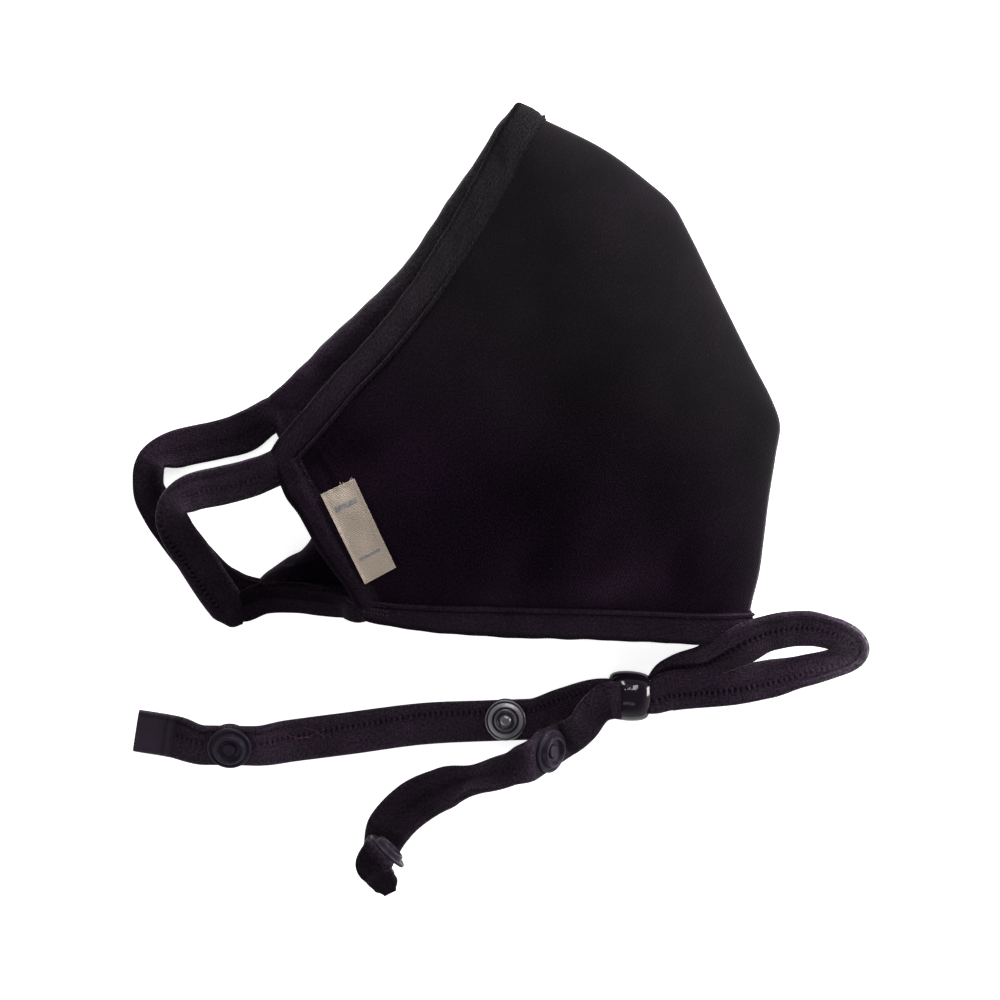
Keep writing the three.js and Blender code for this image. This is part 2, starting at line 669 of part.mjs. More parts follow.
// Height of the near half's outer face above a point of the plan.
function nearHeightAt(x, y) {
  const grid = halves.near.outer;
  for (let k = 0; k + 1 < grid.length; k += 1) {
    for (let j = 0; j + 1 < grid[0].length; j += 1) {
      const quad = [grid[k][j], grid[k + 1][j], grid[k + 1][j + 1], grid[k][j + 1]];
      for (const [a, b, c] of [[quad[0], quad[1], quad[2]], [quad[0], quad[2], quad[3]]]) {
        const area = (b.x - a.x) * (c.y - a.y) - (c.x - a.x) * (b.y - a.y);
        const s = ((x - a.x) * (c.y - a.y) - (c.x - a.x) * (y - a.y)) / area;
        const t = ((b.x - a.x) * (y - a.y) - (x - a.x) * (b.y - a.y)) / area;
        if (s >= -1e-6 && t >= -1e-6 && s + t <= 1 + 1e-6) return a.z + s * (b.z - a.z) + t * (c.z - a.z);
      }
    }
  }
  throw new Error(`no cloth at ${x}, ${y}`);
}

function labelGeometry() {
  const along = vec(Math.cos(radians(LABEL.turn)), Math.sin(radians(LABEL.turn)), 0);
  const away = vec(-along.y, along.x, 0);
  const layer = (lift) => Array.from({ length: LABEL.rows + 1 }, (_, i) =>
    Array.from({ length: LABEL.columns + 1 }, (__, j) => {
      const spot = vec(LABEL.corner.x, LABEL.corner.y, 0);
      spot.addScaledVector(along, (LABEL.length * i) / LABEL.rows);
      spot.addScaledVector(away, (LABEL.width * j) / LABEL.columns);
      return spot.setZ(nearHeightAt(spot.x, spot.y) + lift);
    }));
  return wallGeometry(layer(LABEL.lift + LABEL.thick), layer(LABEL.lift));
}

// ---------- joining ----------
const wasm = await Module();
wasm.setup();

function toSolid(geometry) {
  const mesh = new wasm.Mesh({
    numProp: 3,
    vertProperties: new Float32Array(geometry.attributes.position.array),
    triVerts: new Uint32Array(geometry.index.array),
  });
  return new wasm.Manifold(mesh);
}

function joined(first, second) {
  const mesh = toSolid(first).add(toSolid(second)).getMesh();
  const geometry = new THREE.BufferGeometry();
  geometry.setAttribute('position', new THREE.BufferAttribute(new Float32Array(mesh.vertProperties), 3));
  geometry.setIndex(new THREE.BufferAttribute(new Uint32Array(mesh.triVerts), 1));
  return geometry;
}

// ---------- assembly ----------
const group = new THREE.Group();

function addPiece(name, geometry, color, roughness, metalness = 0) {
  const mesh = new THREE.Mesh(geometry, new THREE.MeshStandardMaterial({ color, roughness, metalness }));
  mesh.name = name;
  group.add(mesh);
  return mesh;
}

for (const half of ['near', 'far']) {
  addPiece(`${half}_panel`, wallGeometry(halves[half].outer, halves[half].inner), PANEL_COLOR, 0.85);
  addPiece(`side_binding_${half}`, sideBinding(half), KNIT_COLOR, 0.9);
}
addPiece('top_binding', sharedBinding(lastRow, -1), KNIT_COLOR, 0.9);
addPiece('bottom_binding', sharedBinding(0, 1), KNIT_COLOR, 0.9);
const nearLoop = joined(
  tapeGeometry(tapeStations(NEAR_LOOP_UPPER, bindingEnd('near', lastRow, -1))),
  tapeGeometry(tapeStations(NEAR_LOOP_LOWER, null, bindingEnd('near', 0, 1))),
);
addPiece('ear_loop_near', nearLoop, KNIT_COLOR, 0.9);
const farLoop = tapeStations(FAR_LOOP, bindingEnd('far', lastRow, -1), bindingEnd('far', 0, 1));
addPiece('ear_loop_far', tapeGeometry(farLoop), KNIT_COLOR, 0.9);
addPiece('label', labelGeometry(), 0xbfae97, 0.9);

const tabEnd = strapStations.findIndex((station) => station.stretch === TAB_ROWS);
const tabStations = strapStations.slice(0, tabEnd + 1);
const strapStart = { ...strapStations[tabEnd], at: moved(strapStations[tabEnd].at, vec(1, 0, 0), GAP * 1.2) };
addPiece('strap_end_tab', tapeGeometry(tabStations), 0x1c191e, 0.5);
addPiece('head_strap', tapeGeometry([strapStart, ...strapStations.slice(tabEnd + 1)]), KNIT_COLOR, 0.9);

const toggle = addPiece('toggle', toggleGeometry(), 0x08080a, 0.15);
toggle.position.set(TOGGLE.x, TOGGLE.y, TOGGLE.z);
toggle.rotation.z = radians(TOGGLE.turn);

const snapRows = STRAP.filter((row) => row.snap);
snapRows.forEach((row, i) => {
  const stretch = tapeStations([row, row])[0];
  const station = { ...stretch, at: vec(row.x, row.y, row.z) };
  addPiece(`snap_face_${i + 1}`, turnedOn(FACE_PROFILES[row.snap], station, 1), 0x141316, 0.35);
  addPiece(`snap_cap_${i + 1}`, turnedOn(CAP_PROFILE, station, -1), 0x141316, 0.35);
});

export default group;
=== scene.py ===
"""A cloth respirator mask lying on its side, with its loose elastic head strap beside it.

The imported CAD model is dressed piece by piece. Tables and shapes are in millimetres in the row
frame: +Z up, the nose towards +Y, the front ridge towards +X, the open ear side towards -X.
"""
import math

import bpy
import numpy as np
from bpy.props import FloatProperty, FloatVectorProperty, PointerProperty
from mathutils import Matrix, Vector


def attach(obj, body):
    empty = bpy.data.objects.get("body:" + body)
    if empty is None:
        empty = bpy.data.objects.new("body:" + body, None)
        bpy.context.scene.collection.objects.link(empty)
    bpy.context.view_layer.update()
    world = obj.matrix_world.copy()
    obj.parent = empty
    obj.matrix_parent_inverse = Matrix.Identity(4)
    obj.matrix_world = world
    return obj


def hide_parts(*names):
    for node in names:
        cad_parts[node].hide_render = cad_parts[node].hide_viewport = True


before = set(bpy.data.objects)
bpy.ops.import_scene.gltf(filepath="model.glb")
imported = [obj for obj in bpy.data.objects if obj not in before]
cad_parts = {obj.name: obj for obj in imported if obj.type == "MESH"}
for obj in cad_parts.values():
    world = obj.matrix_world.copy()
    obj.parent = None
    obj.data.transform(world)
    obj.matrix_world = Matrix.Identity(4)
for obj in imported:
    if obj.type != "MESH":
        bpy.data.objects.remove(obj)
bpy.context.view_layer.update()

bl_info = {
    "name": "Cloth Respirator Mask",
    "version": (1, 0, 0),
    "blender": (4, 5, 0),
    "location": "View3D > Sidebar > Mask",
    "description": "Makes a cloth respirator mask with bindings, ear loops, head strap and press studs",
    "category": "Add Mesh",
}

MM = 0.001


# ---------- tables ----------
def table(columns, *rows):
    """Named columns of a short table, each an array with one value a row. A short row ends in 0s."""
    names = columns.split()
    return dict(zip(names, np.array([row + (0,) * (len(names) - len(row)) for row in rows], float).T))


def tape_line(width, *rows):
    """A line worked into a tape: its width, and a table of its run."""
    return width, table("spot at height tone", *rows)


RIDGE = table(
    "x y z",
    (67.8, -38.4, 6.6), (69.7, -28.5, 8), (71.6, -20, 10.2), (72.8, -9.5, 12.8), (73.9, 0.5, 14.6),
    (75.6, 12, 16.2), (76.7, 20.5, 17), (74.7, 26.8, 17.3), (68.8, 38.3, 17.7), (60.2, 55.6, 18),
    (51.8, 72.8, 17.8), (47.3, 80.8, 17.5), (40.6, 86.9, 17.2), (28.8, 95.8, 16.5), (13.8, 103.4, 16),
    (5.2, 107.2, 16),
)

# Plan of each half's other edges: top and bottom run from the ear to the seam, side upwards.
EDGES = {
    "near": {
        "top": table(
            "x y",
            (-61.3, 12.6), (-58, 17.2), (-50.8, 25.3), (-43.2, 34.2), (-36.5, 41), (-31, 47.4),
            (-23.6, 57), (-14.9, 70.6), (-9.8, 79.2), (-5.2, 87.6), (-0.9, 96.6), (5.2, 107.2),
        ),
        "bottom": table(
            "x y",
            (-36.6, -31.7), (-27, -33.6), (-16, -34.9), (0, -36.1), (27, -37), (55, -38.4),
            (67.8, -38.4),
        ),
        "side": table(
            "x y",
            (-36.6, -31.7), (-39.6, -25.2), (-44, -18.8), (-48.8, -11.5), (-52.6, -4.5), (-57, 2),
            (-61.3, 12.6),
        ),
    },
    "far": {
        "top": table(
            "x y",
            (-63.6, 27), (-56.6, 33.3), (-47.8, 42.2), (-38.4, 51), (-29.2, 59.7), (-22, 68.4),
            (-16.2, 77.2), (-10.2, 86), (-4.2, 94.4), (0.2, 101.6), (5.2, 107.2),
        ),
        "bottom": table(
            "x y",
            (-66.6, -27.6), (-55, -28.4), (-45, -29.8), (-30, -32.4), (0, -34.6), (30, -35.8),
            (67.8, -38.4),
        ),
        "side": table(
            "x y",
            (-66.6, -27.6), (-64.6, -21.4), (-59.6, -17.3), (-54, -14.2), (-50.6, -9.6), (-50.6, -3.4),
            (-53.8, 4), (-58, 13), (-63.6, 27),
        ),
    },
}

# Height of the cloth past the seam's roll-off, by the share of the way from the seam to the ear.
HEIGHTS = {
    "near": table(
        "share bottom top dome",
        (0, 10, 20, 17), (0.3, 13.5, 22.4, 17), (0.6, 17.5, 23.2, 14.5), (1, 21, 22, 3.5),
    ),
    "far": table(
        "share bottom top dome",
        (0, 3.4, 12, -13), (0.3, 3, 7.4, -9), (0.6, 2.6, 5, -6), (0.86, 2, 3.6, -2.4), (1, 1.8, 3.2, 2),
    ),
}
DOME_POWER = {"near": 0.8, "far": 1.7}

# Width over which each half rolls away from the seam, by the share from chin to nose.
ROLL_OFF = table("share near far", (0, 5.5, 5.5), (0.12, 19, 17), (0.5, 36, 27), (0.88, 22, 17), (1, 7, 7))

# Visible widths of the bindings, by the share from the seam to the ear and from chin to nose.
BANDS = table("share bottom top", (0, 8.2, 8.2), (0.7, 7.6, 8.2), (1, 5.8, 8.4))
SIDE_BANDS = table("share width", (0, 6.4), (1, 8))

# Shallow dents in the near half.
DENTS = table("x y reach depth", (9, -17, 9, 1.8), (43, -14, 10, 1.5), (15, 23, 16, 1.2), (-38, 10, 7, 1))

# Soft creases in the near half: centre, turn of the crease, half length, half width and depth.
CREASES = table(
    "x y turn length width depth",
    (6, -20, 62, 13, 4.5, 0.9),
    (19, -13, 48, 11, 5, -0.5),
    (47, -19, 78, 12, 4.5, 0.8),
    (33, -16, 70, 12, 6, -0.5),
    (61, -22, 85, 10, 4, 0.35),
    (-20, -24, 100, 8, 4, 0.4),
    (-8, -20, 75, 10, 4.5, -0.35),
    (-26, 30, 58, 14, 5, 0.35),
    (10, 50, 70, 22, 9, 0.4),
    (38, 40, 62, 20, 8, -0.35),
)

# Short puckers where the upper binding's stitches gather the cloth beside the ear.
PUCKERS = table(
    "x y turn length width depth",
    (-44.6, 8.6, -58, 5, 1, 0.3),
    (-42.4, 10.4, -56, 5.5, 1, 0.35),
    (-40.1, 12.6, -55, 5, 1, 0.3),
    (-37.6, 14.8, -54, 4.5, 1, 0.25),
    (-46.2, 5.2, -64, 4, 0.9, 0.25),
)

# Painted shade in the near half's shallow folds and hollows, and painted light where the amount is below 0.
PAINTED_SHADES = table(
    "x y turn length width amount",
    (-46.6, 8.6, -52, 6, 1, 0.9),
    (-44.2, 10.8, -50, 4.5, 0.7, 0.6),
    (-41.8, 12.9, -50, 4.5, 0.7, 0.5),
    (-39.6, 15.2, -50, 4, 0.7, 0.4),
    (-50.5, 10.5, 48, 6, 1.2, 0.5),
    (-44, 17.6, 48, 7, 1.4, 0.3),
    (12, 4, 60, 24, 15, 0.8),
    (45, 2, 80, 14, 9, 0.2),
    (30, -24, 20, 12, 5, -0.8),
    (0, -27, 5, 12, 3.5, -0.5),
    (-30, 2, 60, 20, 9, -0.4),
    (44, 66, -38, 30, 12, -0.2),
)

# Tapes. Roll raises a tape's left edge, seen along its run, in degrees.
NEAR_LOOP_UPPER = table(
    "x y z roll width thick",
    (-68, 5.9, 19.8, 0, 10.4, 2.6),
    (-76, 3.9, 17.6, 0, 10.7, 2.5),
    (-84, 2.1, 15.6, 12, 10.6, 2.5),
    (-89, -1, 14.4, 34, 10, 2.5),
    (-89.2, -6.8, 13.3, 18, 10.2, 2.5),
    (-83.6, -16.2, 11.2, 0, 10.6, 2.5),
    (-78.6, -24.2, 9.4, 0, 10.6, 2.6),
    (-75.2, -29, 8.2, 0, 10.4, 3.2),
    (-73, -31.2, 7.4, 0, 8.2, 3.4),
    (-70.6, -32, 6.6, 0, 5, 3),
)
NEAR_LOOP_LOWER = table(
    "x y z roll width thick",
    (-73.4, -30, 7.2, 4, 7.6, 2.4),
    (-70.2, -29.2, 7.8, 12, 8.8, 2.5),
    (-64.8, -27, 9.2, 26, 9.4, 2.5),
    (-56, -26.8, 11.4, 38, 10.2, 2.5),
    (-47.5, -27.8, 14.8, 36, 9.4, 2.5),
    (-42.4, -28.3, 17, 30, 8.4, 2.7),
)
FAR_LOOP = table(
    "x y z roll width thick",
    (-71, 18.7, 3, 0, 11.4, 2.6),
    (-78, 16.7, 2, 0, 10.8, 2.5),
    (-88.6, 14.4, 1.8, 4, 10.8, 2.5),
    (-95.8, 11.6, 3.2, 20, 8.8, 2.5),
    (-97.3, 5, 3.9, 34, 10.4, 2.5),
    (-95.6, -0.8, 3.2, 22, 10.6, 2.5),
    (-91.2, -7.4, 2.2, 8, 10.8, 2.5),
    (-84, -16.6, 1.5, 0, 10.6, 2.5),
    (-75.8, -23.2, 1.5, 0, 9.4, 2.5),
)

# The head strap from its tabbed end to its free end. A row with hold is a straight stretch of
# that half length, along turn and slope. Snap 1 is a socket and 2 a stud.
STRAP = table(
    "x y z roll width thick turn slope hold snap",
    (-100.8, -63.9, 1.6, 3, 11.8, 2.5),
    (-90.2, -65.6, 2.4, 10, 12, 2.5),
    (-74.6, -67.8, 5.2, 24, 12.2, 2.5, -1, 0, 6.6, 1),
    (-58, -66.7, 2.6, 8, 11.9, 2.5),
    (-42, -64.7, 1.5, 0, 11.8, 2.5),
    (-22, -62.1, 1.5, 0, 11.6, 2.5),
    (1.5, -60.9, 3.5, 0, 11.4, 2.5, 2, 0, 6.6, 2),
    (17.5, -57.8, 1.5, 0, 11.4, 2.5),
    (35.6, -54.1, 6.35, 0, 9, 2.3, -4, 0, 6),
    (47, -52.7, 5.6, 3, 11.2, 2.5),
    (63.8, -51.2, 4.4, -3, 11.2, 2.5),
    (74, -49.6, 3.2, -12, 10.8, 2.5),
    (84, -47.3, 3.4, -20, 9.1, 2.5),
    (92.6, -45, 4.2, -28, 8.6, 2.5),
    (96.8, -42.8, 4.6, -30, 9.2, 2.5),
    (97.6, -40.8, 4.8, -32, 9.8, 2.5),
    (95.8, -38.6, 4.8, -32, 10, 2.5),
    (91.6, -36.8, 5, -30, 10.2, 2.5),
    (84, -35.4, 6.4, -26, 10.8, 2.5),
    (74.5, -36.5, 9, -26, 11.2, 2.5),
    (66, -39.9, 10.9, -28, 13, 2.5),
    (57, -44.6, 6.8, -32, 12, 2.5),
    (47.4, -48.9, 3.4, -10, 10.6, 2.5),
    (35.6, -54.1, 3.25, 0, 9, 2.3, 178, 0, 6),
)

# The strap's free end, from its tuck over the toggle. Its rows are as the strap's.
FREE_END = table(
    "x y z roll width thick turn slope hold snap",
    (33.2, -55.1, 10, 2, 10.2, 1),
    (29.8, -55.2, 10.2, 0, 10.4, 2.2),
    (26, -57.8, 9.4, -10, 9.4, 2.5),
    (22.4, -62.8, 8, -22, 9.8, 2.5),
    (12.8, -68.8, 8, -30, 12.4, 2.5, 210, 45, 6.6, 1),
    (2.6, -73.8, 12.6, 10, 9.2, 2.5),
    (-7, -77, 7.6, 44, 9.8, 2.5),
    (-15.8, -79.9, 3.8, 16, 12, 2.5),
    (-24, -84.2, 1.6, 0, 12.8, 2.5),
    (-30.5, -90.6, 1.7, 0, 12.6, 2.5),
    (-33.1, -96.8, 9, 0, 10.2, 2.5, 226, 87, 6.9, 1),
    (-35.2, -99.4, 15.6, 0, 8.6, 2.5),
    (-33.5, -102.4, 13, 0, 8, 2.5),
    (-31.4, -105.4, 10.9, 0, 7.2, 2.5),
    (-30.3, -107.6, 9.8, 0, 4, 2.2),
)
ASIDE = {4: 1.4}  # how far a snap sits from its tape's middle, by its number
TAB_SPAN = 1  # the end tab ends one span past the strap's first row

# Lines worked into a tape: where they are along it, counted in the tape's spans, their place from
# -1 to 1 across it, how high they stand, and the painted light or shade that they carry there.
STRAP_ROW = table(
    "spot at height tone",
    (1, 0.15, -0.22, -0.7), (4, 0.2, -0.22, -0.7), (5, 0.32, -0.26, -0.8), (6, 0.42, -0.3, -0.9),
    (9, 0.48, -0.3, -0.9), (10, 0.3, -0.3, -0.8), (11, -0.2, -0.3, -0.8), (13, -0.28, -0.3, -1),
    (15, -0.3, -0.24, -0.7), (17, -0.2, -0.1, -0.3), (19, -0.12, -0.2, -0.5), (21, -0.14, -0.3, -0.8),
    (23, -0.1, -0.3, -0.8), (24, 0.04, -0.25, -0.7), (24.6, -0.2, -0.15, -0.3), (25.2, -0.5, 0, 0),
)
STRAP_LINES = (
    tape_line(0.5, (1, 0.74, -0.25, -0.9), (3.6, 0.72, -0.2, -0.7), (4.6, 0.7, 0, 0)),
    tape_line(
        0.45,
        (14, -0.6, 0, 0), (15.5, -0.6, -0.3, -0.6), (18, -0.56, -0.3, -0.5), (20, -0.6, -0.3, -0.5),
        (22.5, -0.66, -0.2, -0.3), (24, -0.7, 0, 0),
    ),
    tape_line(
        1,
        (22, -0.16, 0, 0), (23, -0.16, -0.3, -0.5), (24, -0.02, -0.6, -1.1), (24.6, -0.28, -0.6, -1.3),
        (25.2, -0.6, -0.3, -0.7), (26, -0.8, 0, 0),
    ),
    tape_line(
        0.8,
        (0, 0.92, 0, 0.1), (11.8, 0.92, 0, 0.1), (12.2, 0.96, -0.1, -0.3), (13.6, 0.96, -0.1, -0.3),
        (14, 0.92, 0, 0.2), (17, 0.92, 0, 0), (21.4, 1, 0, 0), (22.2, 1, -0.1, -0.5),
        (23.4, 1, -0.1, -0.5), (24, 1, 0, 0),
    ),
)
FREE_LINES = (
    tape_line(0.8, (0, 0.82, 0, 0.1), (5, 0.82, 0.05, 0.1), (8, 0.8, 0.2, 0.5), (11, 0.8, 0.1, 0.4)),
    tape_line(1.5, (5.5, 0.1, 0, 0), (7.5, 0, -0.5, -0.8), (9, 0, -0.3, -0.4), (11, 0, 0, 0)),
    tape_line(0.5, (0, -0.88, 0.05, 0.2), (15, -0.88, 0.05, 0.2)),
)
NEAR_ROW = table(
    "spot at height tone",
    (0, 0.15, 0, 0), (0.6, 0.15, -0.12, -0.7), (3.2, 0.15, -0.14, -0.8), (3.8, 0, 0, 0),
    (4.5, -0.7, 0, 0), (4.9, -0.66, -0.2, -0.9), (5.5, -0.54, -0.3, -1.6), (7.6, -0.42, -0.3, -1.6),
    (8.4, -0.33, 0, 0),
)
NEAR_LINES = (
    tape_line(0.35, (0, 0.72, -0.1, -0.9), (0.5, 0.86, -0.1, -0.8), (1, 1, 0, 0)),
    tape_line(0.4, (0, 0.96, 0, -1), (0.4, 0.98, 0, -0.8), (0.8, 1, 0, 0)),
    tape_line(0.5, (0, 0.93, 0.05, 0.3), (4, 0.93, 0.05, 0.4), (9, 0.93, 0.05, 0.5)),
    tape_line(0.45, (0, -0.93, 0.05, 0.3), (4, -0.93, 0.05, 0.4), (9, -0.93, 0.05, 0.7)),
    tape_line(0.6, (0, -0.55, -0.1, -0.2), (3.6, -0.5, -0.15, -0.5), (5, -0.5, 0, 0)),
)
LOWER_LINES = (
    tape_line(0.6, (0, 0.96, 0, -0.6), (5, 0.96, 0, -0.6)),
    tape_line(1.5, (0, 0.5, -0.1, -0.6), (4, 0.5, -0.1, -0.8), (5, 0.5, 0, -0.3)),
    tape_line(0.35, (0, 0.2, -0.2, -0.6), (4, 0.2, -0.2, -0.7), (5, 0.2, 0, 0)),
)
FAR_ROW = table(
    "spot at height tone",
    (0, 0.1, 0, 0), (0.6, 0.1, -0.06, -0.4), (3.4, 0.12, -0.06, -0.5), (4.2, 0.2, 0, 0), (6, 0.3, 0, 0),
    (7, 0.3, -0.14, -0.6), (9.4, 0.3, -0.14, -0.6), (10, 0.3, 0, 0),
)
FAR_LINES = (
    tape_line(0.6, (0, 0.9, 0.05, 0.2), (4, 0.9, 0.05, 0.2), (10, 0.9, 0.05, 0.3)),
    tape_line(0.5, (0, -0.93, 0.05, 0.2), (10, -0.93, 0.05, 0.3)),
    tape_line(1.2, (0, 0.1, 0, -0.2), (3.6, 0.12, 0, -0.3), (4.4, 0.2, 0, 0)),
    tape_line(2.2, (4.1, 0.6, 0, 0), (4.6, 0.55, -0.1, -1), (5.6, 0.5, 0, -0.8), (6.6, 0.4, 0, 0)),
    tape_line(1.2, (4.4, -0.6, 0, 0), (5, -0.5, 0, 0.35), (6, -0.5, 0, 0.3), (7, -0.6, 0, 0)),
)
# A fold across the far loop, drawn with painted shade along it.
FAR_FOLD = {"spot": 4.35, "lean": -0.1, "width": 0.6, "height": -0.1, "tone": -0.4}  # across the far loop

# Painted light and shade along each tape.
NEAR_SHADE = table("spot tone", (0, 0.2), (1, 0.65), (3, 0.8), (4, 0.6), (5, 0.1), (8, -0.3), (10, -0.5))
LOWER_SHADE = table("spot tone", (0, -0.6), (1, -0.9), (3, -0.9), (4, -0.85), (5, -0.6), (6, -0.2))
FAR_SHADE = table(
    "spot tone",
    (0, 0), (1, 0.1), (3, 0.2), (4.3, 0.3), (4.5, 0), (5, -0.2), (6, -0.6), (8, -0.8), (10, -0.6),
)
STRAP_SHADE = table(
    "spot tone",
    (1, 0.6), (2, 0.9), (9, 0.8), (10, 0.85), (12, 0.6), (13, 0.5), (15, 1.1), (16, 1.9), (17, 2.3),
    (19, 2.3), (20, 1.4), (21, 0.7), (22, 0.4), (24, 0.7), (27, 1.2),
)
FREE_SHADE = table(
    "spot tone",
    (0, 0.1), (1, 0.3), (3, 0.6), (5, 0.5), (8, 0.4), (11, 0.15), (12, -0.5), (15, -0.5),
)

# Half profiles of the press studs: radius and height above the tape.
CAP_PROFILE = table("r h", (5.6, 0), (6, 0.5), (5.4, 1.1), (3.4, 1.6), (0, 1.8))
SOCKET_PROFILE = table(
    "r h",
    (6.1, 0), (6.15, 0.45), (6.0, 0.75), (5.6, 0.9), (5.25, 0.7), (4.95, 0.5), (4.7, 0.6), (4.5, 1.1),
    (4.3, 1.9), (4.0, 2.18), (3.65, 2.2), (3.4, 1.95), (3.05, 1.15), (2.6, 0.85), (2.1, 0.8),
    (1.9, 1.0), (1.8, 1.4), (1.5, 1.55), (0.9, 1.45), (0, 1.4),
)
STUD_PROFILE = table(
    "r h",
    (6.1, 0), (6.15, 0.45), (6.0, 0.78), (5.75, 0.9), (5.5, 0.8), (5.35, 0.62), (5.1, 0.72),
    (4.4, 0.86), (3.75, 0.95), (3.55, 0.75), (3.4, 0.6), (3.1, 0.75), (2.95, 1.6), (2.8, 2.1),
    (2.5, 2.25), (2.25, 2.0), (2.05, 1.45), (1.85, 1.4), (1.7, 1.8), (1.3, 2.1), (0.7, 2.2), (0, 2.22),
)
# Painted highlight and shade on a stud's metal at each radius: bright rings of painted highlight between
# grooves of painted shade.
STUD_RINGS = table(
    "radius tone",
    (0, 0.9), (0.5, 0.3), (1.1, 1), (1.75, 0.9), (1.95, -2.5), (2.6, -2), (2.7, 1.2), (3.05, 1),
    (3.15, -2.5), (3.65, -2.5), (3.8, 1), (4.3, 1.3), (4.8, 1.5), (4.88, -1), (4.98, -3), (5.25, -2.5),
    (5.38, 0.8), (5.65, 0.8),
)

# The label's corners in the plan: its upper end left and right, then its lower end. Its size, and
# the spacings of its two sets of threads.
LABEL_CORNERS = np.array([[[-48.4, 1.5], [-39.2, 5.8]], [[-36.5, -22.8], [-28, -18.2]]])
LABEL = {"length": 26.5, "width": 9.8, "thick": 0.55, "warp": 0.56, "weft": 0.6}


# ---------- settings ----------
class MaskSettings(bpy.types.PropertyGroup):
    """Sizes and colours that a user would change."""

    wall: FloatProperty(
        name="Cloth wall", description="Thickness of the mask's cloth", default=0.0018, unit="LENGTH"
    )
    rib_pitch: FloatProperty(
        name="Rib pitch", description="Spacing of the cloth's fine ribs", default=0.0008, unit="LENGTH"
    )
    knit_pitch: FloatProperty(
        name="Knit pitch", description="Spacing of the tapes' courses", default=0.0009, unit="LENGTH"
    )
    stitch_pitch: FloatProperty(
        name="Stitch pitch", description="Spacing of the bindings' stitches", default=0.00145, unit="LENGTH"
    )
    chain_pitch: FloatProperty(
        name="Chain pitch", description="Spacing of the strap's slots", default=0.00155, unit="LENGTH"
    )
    cloth_color: FloatVectorProperty(
        name="Cloth", description="Colour of the mask's cloth", default=(0.0032, 0.0013, 0.0036),
        subtype="COLOR", size=3, min=0, max=1
    )
    tape_color: FloatVectorProperty(
        name="Tape", description="Colour of the bindings and elastic", default=(0.0088, 0.0053, 0.0095),
        subtype="COLOR", size=3, min=0, max=1
    )
    label_color: FloatVectorProperty(
        name="Label", description="Colour of the woven label", default=(0.57, 0.49, 0.42),
        subtype="COLOR", size=3, min=0, max=1
    )
    plastic_color: FloatVectorProperty(
        name="Plastic", description="Colour of the toggle", default=(0.0075, 0.0042, 0.0088),
        subtype="COLOR", size=3, min=0, max=1
    )
    camera_height: FloatProperty(
        name="Camera height", description="Height of the camera over the floor", default=0.9, unit="LENGTH"
    )
    field: FloatProperty(
        name="Field", description="Width of the floor that the camera sees", default=0.27778, unit="LENGTH"
    )


def settings():
    """The scene's mask settings."""
    return bpy.context.scene.mask_settings


# ---------- curves and surfaces ----------
def unit(vectors):
    """Vectors divided by their lengths."""
    return vectors / np.maximum(np.linalg.norm(vectors, axis=-1, keepdims=True), 1e-12)


def smooth_step(t):
    """Eased share: three t squared less two t cubed, held between 0 and 1."""
    t = np.clip(t, 0, 1)
    return t * t * (3 - 2 * t)


def read(rows, column, share):
    """A table's column at a share: a cubic through the rows whose slopes are central differences."""
    at, value = rows["share"], rows[column]
    slope = np.gradient(value, at)
    i = np.clip(np.searchsorted(at, share, side="right") - 1, 0, len(at) - 2)
    gap = at[i + 1] - at[i]
    t = np.clip((share - at[i]) / gap, 0, 1)
    start = (1 + 2 * t) * (1 - t) ** 2 * value[i] + t * (1 - t) ** 2 * gap * slope[i]
    end = t * t * (3 - 2 * t) * value[i + 1] + t * t * (t - 1) * gap * slope[i + 1]
    return start + end


def rounded_curve(rows, columns="x y", samples=1500):
    """A smooth curve through a table's rows, as points at equal steps of its length.

    It is the centripetal Catmull-Rom curve: a cubic between each two points, with slopes from
    their neighbours, weighed by the root of the distances."""
    points = np.stack([rows[c] for c in columns.split()], -1)
    points = np.vstack([2 * points[0] - points[1], points, 2 * points[-1] - points[-2]])
    gap = np.sqrt(np.linalg.norm(np.diff(points, axis=0), axis=1))[:, None]
    p0, p1, p2, p3 = points[:-3], points[1:-2], points[2:-1], points[3:]
    g0, g1, g2 = gap[:-2], gap[1:-1], gap[2:]
    slope1 = ((p1 - p0) / g0 - (p2 - p0) / (g0 + g1) + (p2 - p1) / g1) * g1
    slope2 = ((p2 - p1) / g1 - (p3 - p1) / (g1 + g2) + (p3 - p2) / g2) * g1
    t = np.linspace(0, 1, 120, endpoint=False)[None, :, None]
    a, b, c, d = p1[:, None], slope1[:, None], p2[:, None], slope2[:, None]
    dense = a + b * t + (3 * c - 3 * a - 2 * b - d) * t**2 + (2 * a - 2 * c + b + d) * t**3
    dense = np.vstack([dense.reshape(-1, points.shape[1]), p2[-1:]])
    return even_steps(dense, samples)


def line_length(points):
    """Length along a line up to each of its points."""
    return np.concatenate([[0], np.cumsum(np.linalg.norm(np.diff(points, axis=0), axis=1))])


def even_steps(points, samples):
    """The same line with its points at equal steps of length."""
    length = line_length(points)
    wanted = np.linspace(0, length[-1], samples)
    return np.stack([np.interp(wanted, length, column) for column in points.T], -1)


def along_curve(curve, share):
    """Points of an evenly stepped curve at shares of its length."""
    grid = np.linspace(0, 1, len(curve))
    return np.stack([np.interp(share, grid, column) for column in curve.T], -1)


SEAM = rounded_curve(RIDGE, "x y z")
BORDERS = {half: {name: rounded_curve(rows) for name, rows in EDGES[half].items()} for half in EDGES}
GAP = 0.04  # between the halves along their seam


